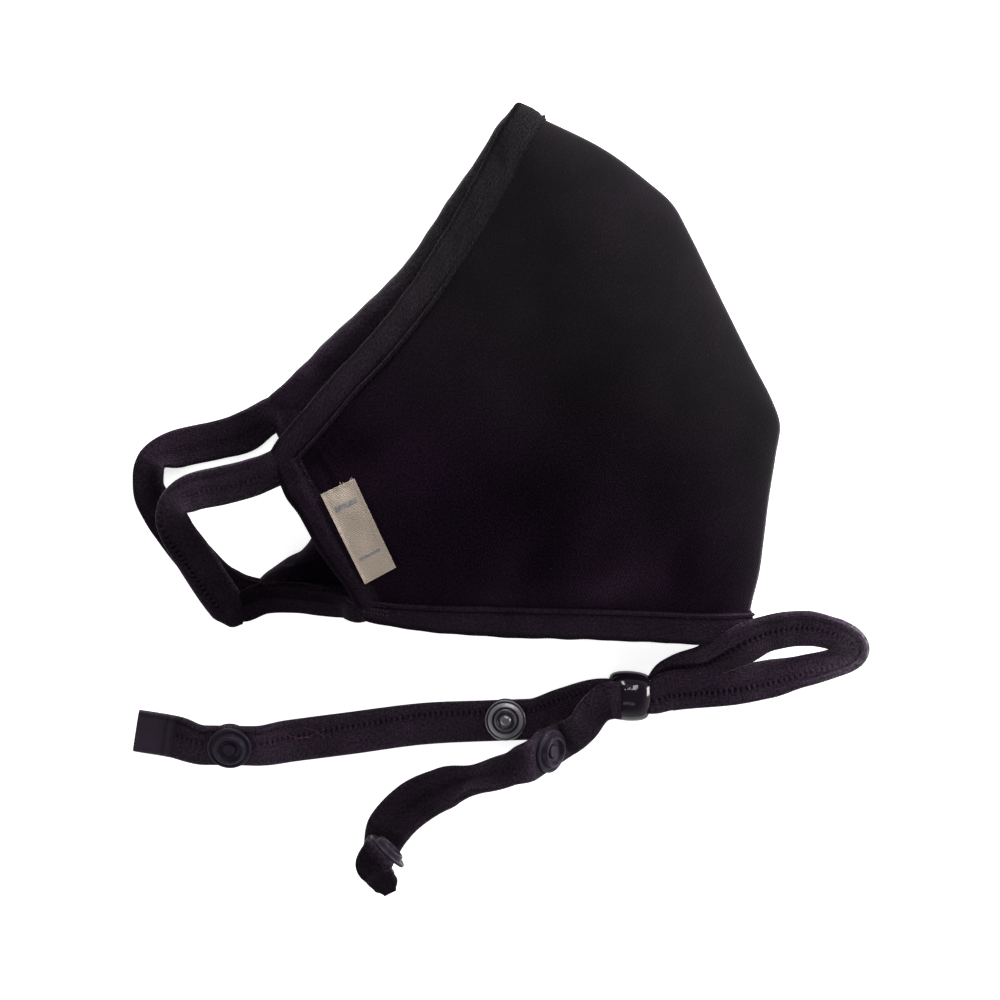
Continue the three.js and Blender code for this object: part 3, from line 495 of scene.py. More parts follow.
def plan(half, from_seam, up):
    """Plan of a half: its four border curves blended, each pair across the other, less the corners."""
    along = 1 - from_seam
    border = BORDERS[half]
    a, u = along[..., None], up[..., None]
    low, high = border["side"][0], border["side"][-1]
    chin, nose = SEAM[0, :2], SEAM[-1, :2]
    return (
        (1 - u) * along_curve(border["bottom"], along)
        + u * along_curve(border["top"], along)
        + (1 - a) * along_curve(border["side"], up)
        + a * along_curve(SEAM[:, :2], up)
        - (1 - a) * (1 - u) * low
        - a * (1 - u) * chin
        - (1 - a) * u * high
        - a * u * nose
    )


def half_width(half, up):
    """Plan width of a half from its seam to its ear edge."""
    return np.linalg.norm(along_curve(BORDERS[half]["side"], up) - along_curve(SEAM[:, :2], up), axis=-1)


def bell(distance, width):
    """One at no distance, falling off as the exponential of less the distance in widths squared."""
    return np.exp(-((distance / width) ** 2))


def relief(x, y, folds):
    """Depth of soft folds: each a bell across its width and along its length, summed."""
    depth = np.zeros_like(x)
    for fold_x, fold_y, turn, length, width, amount in zip(*folds.values()):
        c, s = math.cos(math.radians(turn)), math.sin(math.radians(turn))
        along = (x - fold_x) * c + (y - fold_y) * s
        across = (y - fold_y) * c - (x - fold_x) * s
        depth += amount * np.exp(-((along / length) ** 2) - (across / width) ** 2)
    return depth


def face(half, from_seam, up, folded=False):
    """Outer face of a half: its plan, with a height that rolls off the seam in a quarter round and
    then follows the dome, bottom and top heights of the table, less the dents and folds."""
    flat = plan(half, from_seam, up)
    rows = HEIGHTS[half]
    level = read(rows, "bottom", from_seam) * (1 - up) + read(rows, "top", from_seam) * up
    level += read(rows, "dome", from_seam) * np.sin(np.pi * np.clip(up, 0, 1)) ** DOME_POWER[half]
    if half == "far":  # lies flat where the dome would pass through the floor
        level = 0.5 * (level + np.sqrt(level**2 + 0.25))
    reach = np.clip(from_seam * half_width(half, up) / read(ROLL_OFF, half, up), 0, 1)
    roll = np.sqrt(np.maximum(1 - (1 - reach) ** 2, 0))
    side = 1 if half == "near" else -1
    height = along_curve(SEAM, up)[..., 2] + side * GAP / 2
    height = height + (level - height) * roll
    if half == "near":
        x, y = flat[..., 0], flat[..., 1]
        for dx, dy, size, depth in zip(*DENTS.values()):
            height -= depth * np.exp(-((x - dx) ** 2 + (y - dy) ** 2) / size**2)
        if folded:  # the creases grow with the distance from the seam
            calm = smooth_step((half_width(half, up) * from_seam - 6) / 14)
            height -= calm * relief(x, y, CREASES)
            height -= relief(x, y, PUCKERS)
    return np.concatenate([flat, height[..., None]], -1)


def face_normals(half, from_seam, up, folded=False):
    """Unit normals of a half's outer face, from the cross product of its two slopes."""
    step = 1e-3
    left, right = np.clip(from_seam - step, 0, 1), np.clip(from_seam + step, 0, 1)
    below, above = np.clip(up - step, 0, 1), np.clip(up + step, 0, 1)
    across = face(half, right, up, folded) - face(half, left, up, folded)
    upward = face(half, from_seam, above, folded) - face(half, from_seam, below, folded)
    normals = np.cross(across, upward) * (-1 if half == "near" else 1)
    normals[..., 2] = np.where(from_seam <= 0, 0, normals[..., 2])
    return unit(normals)


def column_length(half, from_seam):
    """Plan length of a half's line from chin to nose at a distance from the seam."""
    steps = 25
    up = np.broadcast_to(np.linspace(0, 1, steps), from_seam.shape + (steps,))
    line = plan(half, np.broadcast_to(from_seam[..., None], up.shape), up)
    return np.linalg.norm(np.diff(line, axis=-2), axis=-1).sum(-1)


def find_on_near(x, y):
    """Shares of the near half's grid over points of the plan, by Newton's method."""
    from_seam, up = np.full_like(x, 0.8), np.full_like(x, 0.4)
    step = 1e-3
    for _ in range(12):
        here = plan("near", from_seam, up)
        a = (plan("near", from_seam + step, up) - here) / step
        b = (plan("near", from_seam, up + step) - here) / step
        rest_x, rest_y = x - here[..., 0], y - here[..., 1]
        area = a[..., 0] * b[..., 1] - a[..., 1] * b[..., 0]
        from_seam = np.clip(from_seam + (rest_x * b[..., 1] - rest_y * b[..., 0]) / area, 0, 1 - 2 * step)
        up = np.clip(up + (rest_y * a[..., 0] - rest_x * a[..., 1]) / area, 0, 1 - 2 * step)
    return from_seam, up


# ---------- meshes ----------
def grid_faces(columns, rows, start=0):
    """Quads of a grid of points that is stored column by column."""
    k, j = np.meshgrid(np.arange(columns - 1), np.arange(rows - 1), indexing="ij")
    a = start + (k * rows + j).ravel()
    return np.stack([a, a + rows, a + rows + 1, a + 1], -1)


def ring_quads(count, size, closed=False):
    """Quads between each ring of points and the next, and from the last to the first when closed."""
    k, j = np.meshgrid(np.arange(count if closed else count - 1), np.arange(size), indexing="ij")
    here, there = k * size, (k + 1) % count * size
    after = (j + 1) % size
    return np.stack([here + j, there + j, there + after, here + after], -1).reshape(-1, 4)


def volume(points, quads):
    """Signed volume inside quads: a sixth of the sum of triple products over their two triangles."""
    a, b, c, d = (points[quads[:, i]] for i in range(4))
    return (np.cross(a, b) * c).sum() / 6 + (np.cross(a, c) * d).sum() / 6


def mesh_piece(name, points, quads, uv=None, sharp=60, triangles=None, tone=None):
    """A mesh object from points in millimetres, quads and any triangles, with its faces turned out.

    uv holds one place a quad's corner, in millimetres, and tone the painted light and shade at each
    point; a sharp edge is one past that angle."""
    triangles = np.zeros((0, 3), int) if triangles is None else triangles
    if volume(points, quads) + volume(points, triangles[:, [0, 1, 2, 2]]) < 0:
        quads, triangles = quads[:, ::-1], triangles[:, ::-1]
        uv = None if uv is None else uv[:, ::-1]
    corners = np.concatenate([quads.ravel(), triangles.ravel()])
    starts = np.concatenate([np.arange(len(quads)) * 4, quads.size + np.arange(len(triangles)) * 3])
    mesh = bpy.data.meshes.new(name)
    mesh.vertices.add(len(points))
    mesh.vertices.foreach_set("co", (points * MM).astype(np.float32).ravel())
    mesh.loops.add(len(corners))
    mesh.loops.foreach_set("vertex_index", corners.astype(np.int32))
    mesh.polygons.add(len(starts))
    mesh.polygons.foreach_set("loop_start", starts.astype(np.int32))
    mesh.update(calc_edges=True)
    if uv is not None:
        places = np.zeros((len(corners), 2))
        places[: quads.size] = uv.reshape(-1, 2) * MM
        mesh.uv_layers.new(name="UVMap").data.foreach_set("uv", places.astype(np.float32).ravel())
    if tone is not None:
        tones = mesh.attributes.new("tone", "FLOAT", "POINT").data
        tones.foreach_set("value", tone.astype(np.float32).ravel())
    mesh.polygons.foreach_set("use_smooth", np.ones(len(starts), bool))
    mesh.set_sharp_from_angle(angle=math.radians(sharp))
    mesh.validate()
    piece = bpy.data.objects.new(name, mesh)
    bpy.context.scene.collection.objects.link(piece)
    return piece


def corner_uv(u, v):
    """Places of the four corners of each quad of a grid, from its points' two lengths."""
    place = np.stack([u, v], -1)
    corners = [place[:-1, :-1], place[1:, :-1], place[1:, 1:], place[:-1, 1:]]
    return np.stack([c.reshape(-1, 2) for c in corners], 1)


def shell(name, outer, inner, u, v, tone=None):
    """A closed wall between two grids: both grids, and a strip of quads along each border."""
    columns, rows = outer.shape[:2]
    half = columns * rows
    index = np.arange(half).reshape(columns, rows)
    rim = np.concatenate([index[:-1, 0], index[-1, :-1], index[:0:-1, -1], index[0, :0:-1]])
    after = np.roll(rim, -1)
    strip = np.stack([after, rim, rim + half, after + half], -1)
    quads = np.concatenate([grid_faces(columns, rows), grid_faces(columns, rows, half)[:, ::-1], strip])
    face_uv = corner_uv(u, v)
    flat = np.stack([u.ravel(), v.ravel()], -1)
    strip_uv = np.stack([flat[after], flat[rim], flat[rim], flat[after]], 1)
    uv = np.concatenate([face_uv, face_uv[:, ::-1], strip_uv])
    points = np.vstack([outer.reshape(-1, 3), inner.reshape(-1, 3)])
    return mesh_piece(name, points, quads, uv, tone=None if tone is None else np.stack([tone, tone]))


def tube_mesh(rings, along, around, split):
    """Points, quads and places of a skin through rings that close on themselves.

    The first split points of a ring are one line and the rest the line back, so each end is
    closed by a strip between the two lines."""
    count, size = rings.shape[:2]
    if around is None:
        closed = np.concatenate([rings, rings[:, :1]], 1)
        steps = np.linalg.norm(np.diff(closed, axis=1), axis=-1)
        around = np.concatenate([np.zeros((count, 1)), np.cumsum(steps, 1)], 1)
    here = np.arange(split)
    there = size - 1 - np.round(here * (size - split - 1) / (split - 1)).astype(int)
    cap = np.stack([here[:-1], here[1:], there[1:], there[:-1]], -1)
    quads = np.concatenate([ring_quads(count, size), cap + (count - 1) * size, cap[:, [1, 0, 3, 2]]])
    uv = corner_uv(np.broadcast_to(along[:, None], around.shape), around)
    cap_uv = np.zeros((2 * len(cap), 4, 2))
    return rings.reshape(-1, 3), quads, np.concatenate([uv, cap_uv])


def tube(name, rings, along, split, around=None, tone=None):
    """A closed skin through rings of points; quads that meet in a point become triangles."""
    points, quads, uv = tube_mesh(rings, along, around, split)
    same = quads[:, 2] == quads[:, 3]
    return mesh_piece(name, points, quads[~same], uv[~same], triangles=quads[same][:, :3], tone=tone)


def turned(name, profile, base, across, axis, sides=96):
    """A turned piece: its half profile carried round an axis, closed at both ends by a fan. Its
    tone, painted highlight rings and shaded grooves for the plated studs, follows the radius."""
    r, h = profile["r"], profile["h"]
    angle = np.linspace(0, 2 * np.pi, sides, endpoint=False)[:, None]
    ring = np.cos(angle) * across + np.sin(angle) * np.cross(axis, across)
    rows = base + r[:-1, None, None] * ring + h[:-1, None, None] * axis
    points = np.vstack([rows.reshape(-1, 3), [base + h[-1] * axis], [base]])
    quads = ring_quads(len(r) - 1, sides)[:, [0, 3, 2, 1]]
    spokes = np.arange(sides)
    after = (spokes + 1) % sides
    last = (len(r) - 2) * sides
    top = np.stack([last + spokes, last + after, np.full(sides, len(points) - 2)], -1)
    bottom = np.stack([after, spokes, np.full(sides, len(points) - 1)], -1)
    shade = np.interp(r, STUD_RINGS["radius"], STUD_RINGS["tone"])
    tones = np.concatenate([np.repeat(shade[:-1], sides), shade[-1:], shade[:1]])
    return mesh_piece(name, points, quads, None, 40, np.vstack([top, bottom]), tones)


def capsule(sides=6, rows=5):
    """A round-ended grain one long and one across, as rings whose radius follows a half circle."""
    angle = np.linspace(-np.pi / 2, np.pi / 2, rows + 2)[1:-1, None, None]
    turn = np.linspace(0, 2 * np.pi, sides, endpoint=False)
    ring = np.stack([np.cos(turn), np.sin(turn)], -1)
    length = np.broadcast_to(np.sin(angle) / 2, (rows, sides, 1))
    return np.concatenate([length, np.cos(angle) ** 0.6 / 2 * ring], -1)


def grains(name, centres, directions, ups, sizes):
    """Many small grains as one mesh, each a capsule turned to its own direction and up.

    sizes holds each grain's length, width and height."""
    rings = capsule()
    rows, sides = rings.shape[:2]
    points, quads, _ = tube_mesh(rings, np.zeros(rows), None, sides // 2)
    x_axis = unit(directions)
    z_axis = unit(ups - (ups * x_axis).sum(-1, keepdims=True) * x_axis)
    y_axis = np.cross(z_axis, x_axis)
    basis = np.stack([x_axis, y_axis, z_axis], 1) * sizes[:, :, None]
    placed = np.einsum("pi,nij->npj", points, basis) + centres[:, None]
    shift = np.arange(len(centres))[:, None, None] * len(points)
    return mesh_piece(name, placed.reshape(-1, 3), (quads[None] + shift).reshape(-1, 4))


# ---------- materials ----------
BINDING_RIB = 0.82  # spacing of the bindings' ribs


def add_node(tree, kind, sockets=None, **values):
    """One shader node with its values set; a socket given an output is linked to it."""
    made = tree.nodes.new(kind)
    for name, value in values.items():
        setattr(made, name, value)
    for name, value in (sockets or {}).items():
        socket = made.inputs[name]
        if isinstance(value, bpy.types.NodeSocket):
            tree.links.new(value, socket)
        else:
            socket.default_value = value
    return made


def math_node(tree, operation, *values):
    """Output of a Math node over numbers and sockets."""
    return add_node(tree, "ShaderNodeMath", dict(enumerate(values)), operation=operation).outputs[0]


def map_range(tree, value, low, high, to_low=0.0, to_high=1.0):
    """Value carried smoothly from one range to another."""
    sockets = {"Value": value, "From Min": low, "From Max": high, "To Min": to_low, "To Max": to_high}
    return add_node(tree, "ShaderNodeMapRange", sockets, interpolation_type="SMOOTHSTEP").outputs["Result"]


def mix_color(tree, factor, first, second, blend="MIX"):
    """Colour between two colours or sockets."""
    sockets = {0: factor, 6: first, 7: second}
    return add_node(tree, "ShaderNodeMix", sockets, data_type="RGBA", blend_type=blend).outputs[2]


def ribs(tree, place, pitch, turn=0.0, distortion=0.0, detail=900.0):
    """Straight ribs of a pitch in metres across a turned direction, as a value from 0 to 1.

    A wave texture's bands repeat every 2 pi over 20 of its scale."""
    mapping = {"Vector": place, "Rotation": (0, 0, math.radians(turn))}
    scale = 2 * math.pi / (20 * pitch)
    sockets = {
        "Vector": add_node(tree, "ShaderNodeMapping", mapping).outputs[0],
        "Scale": scale,
        "Distortion": distortion,
        "Detail": 2.0,
        "Detail Scale": detail / scale,
        "Detail Roughness": 0.6,
    }
    made = add_node(tree, "ShaderNodeTexWave", sockets, wave_type="BANDS", bands_direction="X")
    return made.outputs["Fac"]


def noise(tree, place, scale, detail=3.0, roughness=0.55):
    """Soft noise of a scale in cycles a metre, as a value from 0 to 1."""
    sockets = {"Vector": place, "Scale": scale, "Detail": detail, "Roughness": roughness}
    return add_node(tree, "ShaderNodeTexNoise", sockets).outputs["Fac"]


def bump(tree, shader, height, strength, distance):
    """Links a height, in metres when times the distance, to the shader as its bumps."""
    sockets = {"Height": height, "Strength": strength, "Distance": distance}
    tree.links.new(add_node(tree, "ShaderNodeBump", sockets).outputs[0], shader.inputs["Normal"])


def start_material(name, color, roughness, **sockets):
    """A new material with its main shader's uniform values set."""
    made = bpy.data.materials.new(name)
    made.use_nodes = True
    tree = made.node_tree
    shader = tree.nodes["Principled BSDF"]
    shader.inputs["Base Color"].default_value = (*color, 1)
    shader.inputs["Roughness"].default_value = roughness
    for socket, value in sockets.items():
        shader.inputs[socket.replace("_", " ")].default_value = value
    return made, tree, shader


def place_of(tree, kind):
    """The Object or UV place on a surface, in metres."""
    return add_node(tree, "ShaderNodeTexCoord").outputs[kind]


SHEEN = {
    "Sheen_Weight": 0.06,
    "Sheen_Roughness": 0.35,
    "Sheen_Tint": (1, 0.96, 1, 1),
    "Specular_IOR_Level": 0.04,
}
LINT_COLOR = (0.16, 0.13, 0.15, 1)
DUST_COLOR = (0.07, 0.062, 0.075, 1)
THREAD_COLOR = (0.009, 0.0058, 0.0098)
PALE_THREAD_COLOR = (0.024, 0.019, 0.025)
HAIR_COLOR = (0.12, 0.045, 0.06)
SATIN_COLOR = (0.0165, 0.0092, 0.0185)
SNAP_COLOR = (0.0158, 0.012, 0.0195)
STUD_COLOR = (0.1, 0.092, 0.105)
LABEL_GAP_COLOR = (0.26, 0.2, 0.155, 1)
LABEL_STAIN_COLOR = (0.3, 0.24, 0.2, 1)
LABEL_BAR_COLOR = (0.09, 0.115, 0.16, 1)
# Spacings of the finishes' fine threads, and how far each finish's bumps stand up, in metres.
PITCH = {"yarn": 0.00062, "twist": 0.00035, "satin": 0.0003, "warp": 0.00042, "weft": 0.00036}
RISE = {
    "jersey": 0.00005,
    "satin": 0.00006,
    "thread": 0.00008,
    "knit": 0.00009,
    "weave": 0.00012,
    "wave": 0.00014,
}
# The label's woven bars: each one's middle along the label and half width, and the middle and half
# length of both across it.
LABEL_BARS = ((0.0055, 0.0007), (0.0202, 0.0004))
LABEL_BAR_SPAN = (0.0048, 0.0032)


def grey(tree, value):
    """Neutral colour of a value."""
    return add_node(tree, "ShaderNodeCombineColor", {0: value, 1: value, 2: value}).outputs[0]


def dimmed(tree, color, value):
    """A colour times a value."""
    return mix_color(tree, 1.0, color, grey(tree, value), "MULTIPLY")


def saturated(tree, color, share):
    """A colour with a share of its saturation."""
    return add_node(tree, "ShaderNodeHueSaturation", {"Saturation": share, "Color": color}).outputs[0]


def tone_of(tree):
    """The mesh's tone, its painted light and shade, and 2 to the power of it."""
    tone = add_node(tree, "ShaderNodeAttribute", attribute_name="tone").outputs["Fac"]
    return tone, math_node(tree, "POWER", 2.0, tone)


def lint_on(tree, place, color, amount):
    """Cloth colour with soft shade changes, and a few pale specks of lint."""
    cloth = dimmed(tree, color, map_range(tree, noise(tree, place, 55.0), 0.3, 0.7, 0.8, 1.2))
    speck = map_range(tree, noise(tree, place, 1500.0, 2.0, 0.7), 0.7, 0.76, 0.0, amount)
    return mix_color(tree, speck, cloth, LINT_COLOR)


def towards_ridge(tree, to_low, to_high):
    """A value that goes from one to another between the ear side and the nose and ridge."""
    spot = add_node(tree, "ShaderNodeSeparateXYZ", {0: place_of(tree, "Object")}).outputs
    way = math_node(tree, "MULTIPLY_ADD", spot[0], 0.5, spot[1])
    return map_range(tree, way, -0.004, 0.06, to_low, to_high)


def greyed_where_lit(tree, color):
    """Painted light: a colour greyer towards the nose and the ridge, where the light falls on the cloth."""
    return saturated(tree, color, towards_ridge(tree, 1.12, 0.45))


def toned(tree, shader, color, pattern, all_over=True):
    """Links a colour to the shader, times a pattern and 2 to the power of the mesh's tone, its painted
    light and shade. The sheen and the mirrored light follow the tone, and the pattern too when it is all
    over. Where the tone is light the colour is paler, as painted light is greyer."""
    tone, lift = tone_of(tree)
    gain = math_node(tree, "MULTIPLY", lift, pattern)
    paler = saturated(tree, dimmed(tree, color, gain), map_range(tree, tone, 0.8, 2.6, 1.0, 0.66))
    tree.links.new(paler, shader.inputs["Base Color"])
    for name in ("Sheen Weight", "Specular IOR Level"):
        share = math_node(tree, "MULTIPLY", gain if all_over else lift, shader.inputs[name].default_value)
        tree.links.new(share, shader.inputs[name])


def panel_cloth():
    """Near-black jersey with fine slanting ribs, fibres and a soft sheen."""
    choice = settings()
    look = {**SHEEN, "Sheen_Weight": 0.108, "Sheen_Tint": (0.98, 0.94, 1, 1)}
    made, tree, shader = start_material("panel_cloth", choice.cloth_color, 0.92, **look)
    place = place_of(tree, "UV")
    rib = ribs(tree, place, choice.rib_pitch, 28, 2.0, 700.0)
    cross = ribs(tree, place, choice.rib_pitch * 0.9, -62, 2.0, 700.0)
    fibre = noise(tree, place, 3200.0, 4.0, 0.7)
    # Painted light: the cloth is drawn greyer towards the nose and ridge, where the light falls.
    color = greyed_where_lit(tree, lint_on(tree, place, (*choice.cloth_color, 1), 0.15))
    grain = map_range(tree, noise(tree, place, 1900.0, 2.0, 0.7), 0.34, 0.66, -1.0, 1.5)
    grain = math_node(tree, "MULTIPLY_ADD", grain, towards_ridge(tree, 0.95, 0.35), 1.0)
    pattern = math_node(tree, "MULTIPLY", grain, map_range(tree, rib, 0.0, 0.9, 0.85, 1.07))
    toned(tree, shader, color, pattern, all_over=False)
    height = math_node(tree, "MULTIPLY_ADD", cross, 0.35, rib)
    height = math_node(tree, "MULTIPLY_ADD", fibre, 0.7, height)
    bump(tree, shader, height, 1.0, RISE["jersey"])
    return made


def knit(name, pitch, sheen, greys_where_lit=False):
    """Elastic knit: courses across the tape and yarn along it, with loops, fibres and lint."""
    tape_color = settings().tape_color
    made, tree, shader = start_material(name, tape_color, 0.9, **{**SHEEN, "Sheen_Weight": sheen})
    place = place_of(tree, "UV")
    course = ribs(tree, place, pitch, 0, 1.6)
    yarn = ribs(tree, place, PITCH["yarn"], 90, 2.4)
    loops = noise(tree, place, 1300.0, 3.0, 0.6)
    fibre = noise(tree, place, 4200.0, 4.0, 0.7)
    color = lint_on(tree, place, (*tape_color, 1), 0.3)
    # Painted light: greyer towards the nose and ridge where asked.
    color = greyed_where_lit(tree, color) if greys_where_lit else color
    grain = noise(tree, place, 2500.0, 2.0, 0.7)
    mottle = map_range(tree, math_node(tree, "ADD", loops, grain), 0.75, 1.25, 0.52, 1.52)
    groove = map_range(tree, math_node(tree, "MULTIPLY_ADD", course, 0.4, yarn), 0.1, 1.3, 0.8, 1.14)
    toned(tree, shader, color, math_node(tree, "MULTIPLY", mottle, groove))
    height = math_node(tree, "MULTIPLY_ADD", course, 0.4, math_node(tree, "MULTIPLY", yarn, 0.6))
    height = math_node(tree, "MULTIPLY_ADD", loops, 1.0, height)
    height = math_node(tree, "MULTIPLY_ADD", fibre, 0.8, height)
    bump(tree, shader, height, 1.0, RISE["knit"])
    return made


def thread(name, color, shade_scale, shade_range, twisted=False):
    """Sewing thread in soft shades, with a fine twist when it is twisted."""
    made, tree, shader = start_material(name, color, 0.8, **SHEEN)
    place = place_of(tree, "Object")
    if twisted:
        bump(tree, shader, ribs(tree, place, PITCH["twist"], 40, 1.0), 0.8, RISE["thread"])
    toned(tree, shader, (*color, 1), map_range(tree, noise(tree, place, shade_scale), *shade_range))
    return made


def red_lint():
    """Reddish fibre of the hairs on the strap."""
    return start_material("red_lint", HAIR_COLOR, 0.8, Specular_IOR_Level=0.1)[0]


def satin_tape():
    """Smooth satin tape with long fine threads."""
    look = {"Sheen_Weight": 0.06, "Sheen_Roughness": 0.4, "Specular_IOR_Level": 0.12}
    made, tree, shader = start_material("satin_tape", SATIN_COLOR, 0.55, **look)
    place = place_of(tree, "UV")
    yarn = ribs(tree, place, PITCH["satin"], 90, 0.8)
    color = lint_on(tree, place, (*SATIN_COLOR, 1), 0.2)
    toned(tree, shader, color, map_range(tree, yarn, 0.0, 1.0, 0.85, 1.1))
    bump(tree, shader, yarn, 0.6, RISE["satin"])
    return made


def woven_label():
    """Beige plain weave with two woven bars of blue grey thread."""
    label_color = settings().label_color
    made, tree, shader = start_material("woven_label", label_color, 0.9, Sheen_Weight=0.15)
    place = place_of(tree, "UV")
    warp, weft = ribs(tree, place, PITCH["warp"], 0, 0.8), ribs(tree, place, PITCH["weft"], 90, 0.8)
    weave = math_node(tree, "MULTIPLY", warp, weft)
    spot = add_node(tree, "ShaderNodeSeparateXYZ", {0: place}).outputs
    bars = 0.0
    for bar in LABEL_BARS:
        bars = math_node(tree, "MAXIMUM", bars, math_node(tree, "COMPARE", spot[0], *bar))
    bars = math_node(tree, "MULTIPLY", bars, math_node(tree, "COMPARE", spot[1], *LABEL_BAR_SPAN))
    worn = map_range(tree, noise(tree, place, 900.0, 4.0, 0.7), 0.35, 0.65, 0.35, 0.9)
    stain = map_range(tree, noise(tree, place, 130.0), 0.35, 0.7, 0.0, 0.25)
    cloth = mix_color(tree, map_range(tree, weave, 0.0, 0.7), LABEL_GAP_COLOR, (*label_color, 1))
    cloth = mix_color(tree, stain, cloth, LABEL_STAIN_COLOR)
    cloth = mix_color(tree, math_node(tree, "MULTIPLY", bars, worn), cloth, LABEL_BAR_COLOR)
    tree.links.new(cloth, shader.inputs["Base Color"])
    bump(tree, shader, weave, 1.0, RISE["weave"])
    return made


def plastic(name, color, roughness, rough_change, level, metal=0.0):
    """Moulded dark plastic with slight waves, scuffs and dust. With metal over 0 it is plated, and
    its colour follows the mesh's tone, which paints highlight rings and shaded grooves on it."""
    made, tree, shader = start_material(name, color, roughness, Specular_IOR_Level=level, Metallic=metal)
    place = place_of(tree, "Object")
    scuff = noise(tree, place, 900.0, 5.0, 0.7)
    rough = map_range(tree, scuff, 0.4, 0.7, roughness - rough_change, roughness + rough_change)
    tree.links.new(rough, shader.inputs["Roughness"])
    dust = map_range(tree, noise(tree, place, 2600.0, 3.0, 0.7), 0.66, 0.74, 0.0, 0.25 - 0.2 * metal)
    dusty = mix_color(tree, dust, (*color, 1), DUST_COLOR)
    if metal:
        dusty = dimmed(tree, dusty, tone_of(tree)[1])
    tree.links.new(dusty, shader.inputs["Base Color"])
    bump(tree, shader, noise(tree, place, 420.0, 2.0, 0.5), 0.08 if metal else 0.5, RISE["wave"])
    return made


MATERIALS = {
    "panel_cloth": panel_cloth,
    "binding_knit": lambda: knit("binding_knit", BINDING_RIB * MM, 0.06, greys_where_lit=True),
    "elastic_knit": lambda: knit("elastic_knit", settings().knit_pitch, 0.07),
    "sewing_thread": lambda: thread("sewing_thread", THREAD_COLOR, 1200.0, (0.35, 0.7, 0.6, 1.4), True),
    "pale_thread": lambda: thread("pale_thread", PALE_THREAD_COLOR, 900.0, (0.3, 0.7, 0.4, 1.5)),
    "red_lint": red_lint,
    "satin_tape": satin_tape,
    "woven_label": woven_label,
    "toggle_plastic": lambda: plastic("toggle_plastic", settings().plastic_color, 0.1, 0.03, 0.3),
    "snap_plastic": lambda: plastic("snap_plastic", SNAP_COLOR, 0.34, 0.07, 0.06),
    "stud_plastic": lambda: plastic("stud_plastic", STUD_COLOR, 0.32, 0.02, 0.5, metal=0.6),
}


READY = {}


def finish_of(name):
    """The material of that name, made when first asked for."""
    if name not in READY:
        READY[name] = MATERIALS[name]()
    return READY[name]


def dress(piece, slot, material=None, replaces=()):
    """Gives a piece its material, hides the CAD parts it replaces, and lets it ride on the mask."""
    piece.data.materials.append(finish_of(material or slot))
    if replaces:
        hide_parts(*replaces)
    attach(piece, "root")
    return piece


# ---------- the cloth halves ----------
# Grid of each half: columns round the seam, columns across the rest, and rows.
CLOTH_GRID = {"near": (34, 118, 164), "far": (22, 76, 104)}
SEAM_GROOVE = {"depth": 0.35, "width": 0.7}
# Painted light: how much lighter each half's cloth is drawn, as a power of 2.
CLOTH_TONE = {"near": 0.0, "far": 1.1}


def share_at(half, column, up):
    """Share of the way from the seam to the ear. Columns 0 to 1 turn a quarter round the seam's
    roll-off, and 1 to 2 cross the rest of the half."""
    start = read(ROLL_OFF, half, up) / half_width(half, up)
    round_seam = start * (1 - np.cos(np.pi / 2 * np.clip(column, 0, 1)))
    return np.where(column <= 1, round_seam, start + (1 - start) * (column - 1))


def cloth_grid(half, column, up):
    """Outer face, its normals and its shares of a half at grid columns and rows."""
    share = np.clip(share_at(half, column, up), 0, 1)
    return face(half, share, up, True), face_normals(half, share, up, True), share


def cloth_columns(rolled, crossing):
    """Even columns round the seam's roll-off, followed by even columns across the rest."""
    return np.concatenate([np.linspace(0, 1, rolled, endpoint=False), np.linspace(1, 2, crossing)])


def build_cloth(half):
    """The cloth of one half: a wall between its outer face and the face a thickness inside it.

    Its places unroll the surface: the plan, moved out by the length that the slope adds."""
    rolled, crossing, rows = CLOTH_GRID[half]
    rows = np.linspace(0, 1, rows)
    column, up = np.meshgrid(cloth_columns(rolled, crossing), rows, indexing="ij")
    outer, normals, share = cloth_grid(half, column, up)
    sunk = SEAM_GROOVE["depth"] * bell(half_width(half, up) * share, SEAM_GROOVE["width"])
    outer = outer - normals * sunk[..., None]
    inner = outer - normals * (settings().wall / MM)
    if half == "far":
        outer[..., 2] = np.maximum(outer[..., 2], 0)
    step = np.diff(outer, axis=0)
    extra = np.linalg.norm(step, axis=-1) - np.linalg.norm(step[..., :2], axis=-1)
    extra = np.concatenate([np.cumsum(extra[::-1], 0)[::-1], np.zeros((1, len(rows)))])
    outwards = unit(along_curve(SEAM[:, :2], rows) - along_curve(BORDERS[half]["side"], rows))
    place = outer[..., :2] + extra[..., None] * outwards
    # Painted light and shade: the far half's cloth is drawn lighter, and the near half carries patches of
    # painted shade and painted light.
    tone = np.full(share.shape, CLOTH_TONE[half])
    if half == "near":
        tone = tone - relief(outer[..., 0], outer[..., 1], PAINTED_SHADES)
    piece = shell(f"{half}_cloth", outer, inner, place[..., 0], place[..., 1], tone)
    return dress(piece, "panel_cloth", replaces=(f"{half}_panel",))


# ---------- the bindings ----------
LIP = 1.3  # height of a binding's body over its foot
FOOT = 0.1  # height of a binding's thin foot over the cloth
RIB_STEPS = 4  # rings for each rib or course
# Points round a binding's section: shares of its width from lip to fold, turns of the fold, and
# shares of its width from fold to lip.
LIP_SHARES = [0, 0.02, 0.04, 0.055, 0.07, 0.085, 0.1, 0.12, 0.14, 0.165, 0.19, 0.22]
FRONT = np.concatenate([LIP_SHARES, np.linspace(0.25, 1, 20)])
AROUND = np.linspace(0, np.pi, 9)[1:-1]
BACK = np.linspace(0, 1, 14)
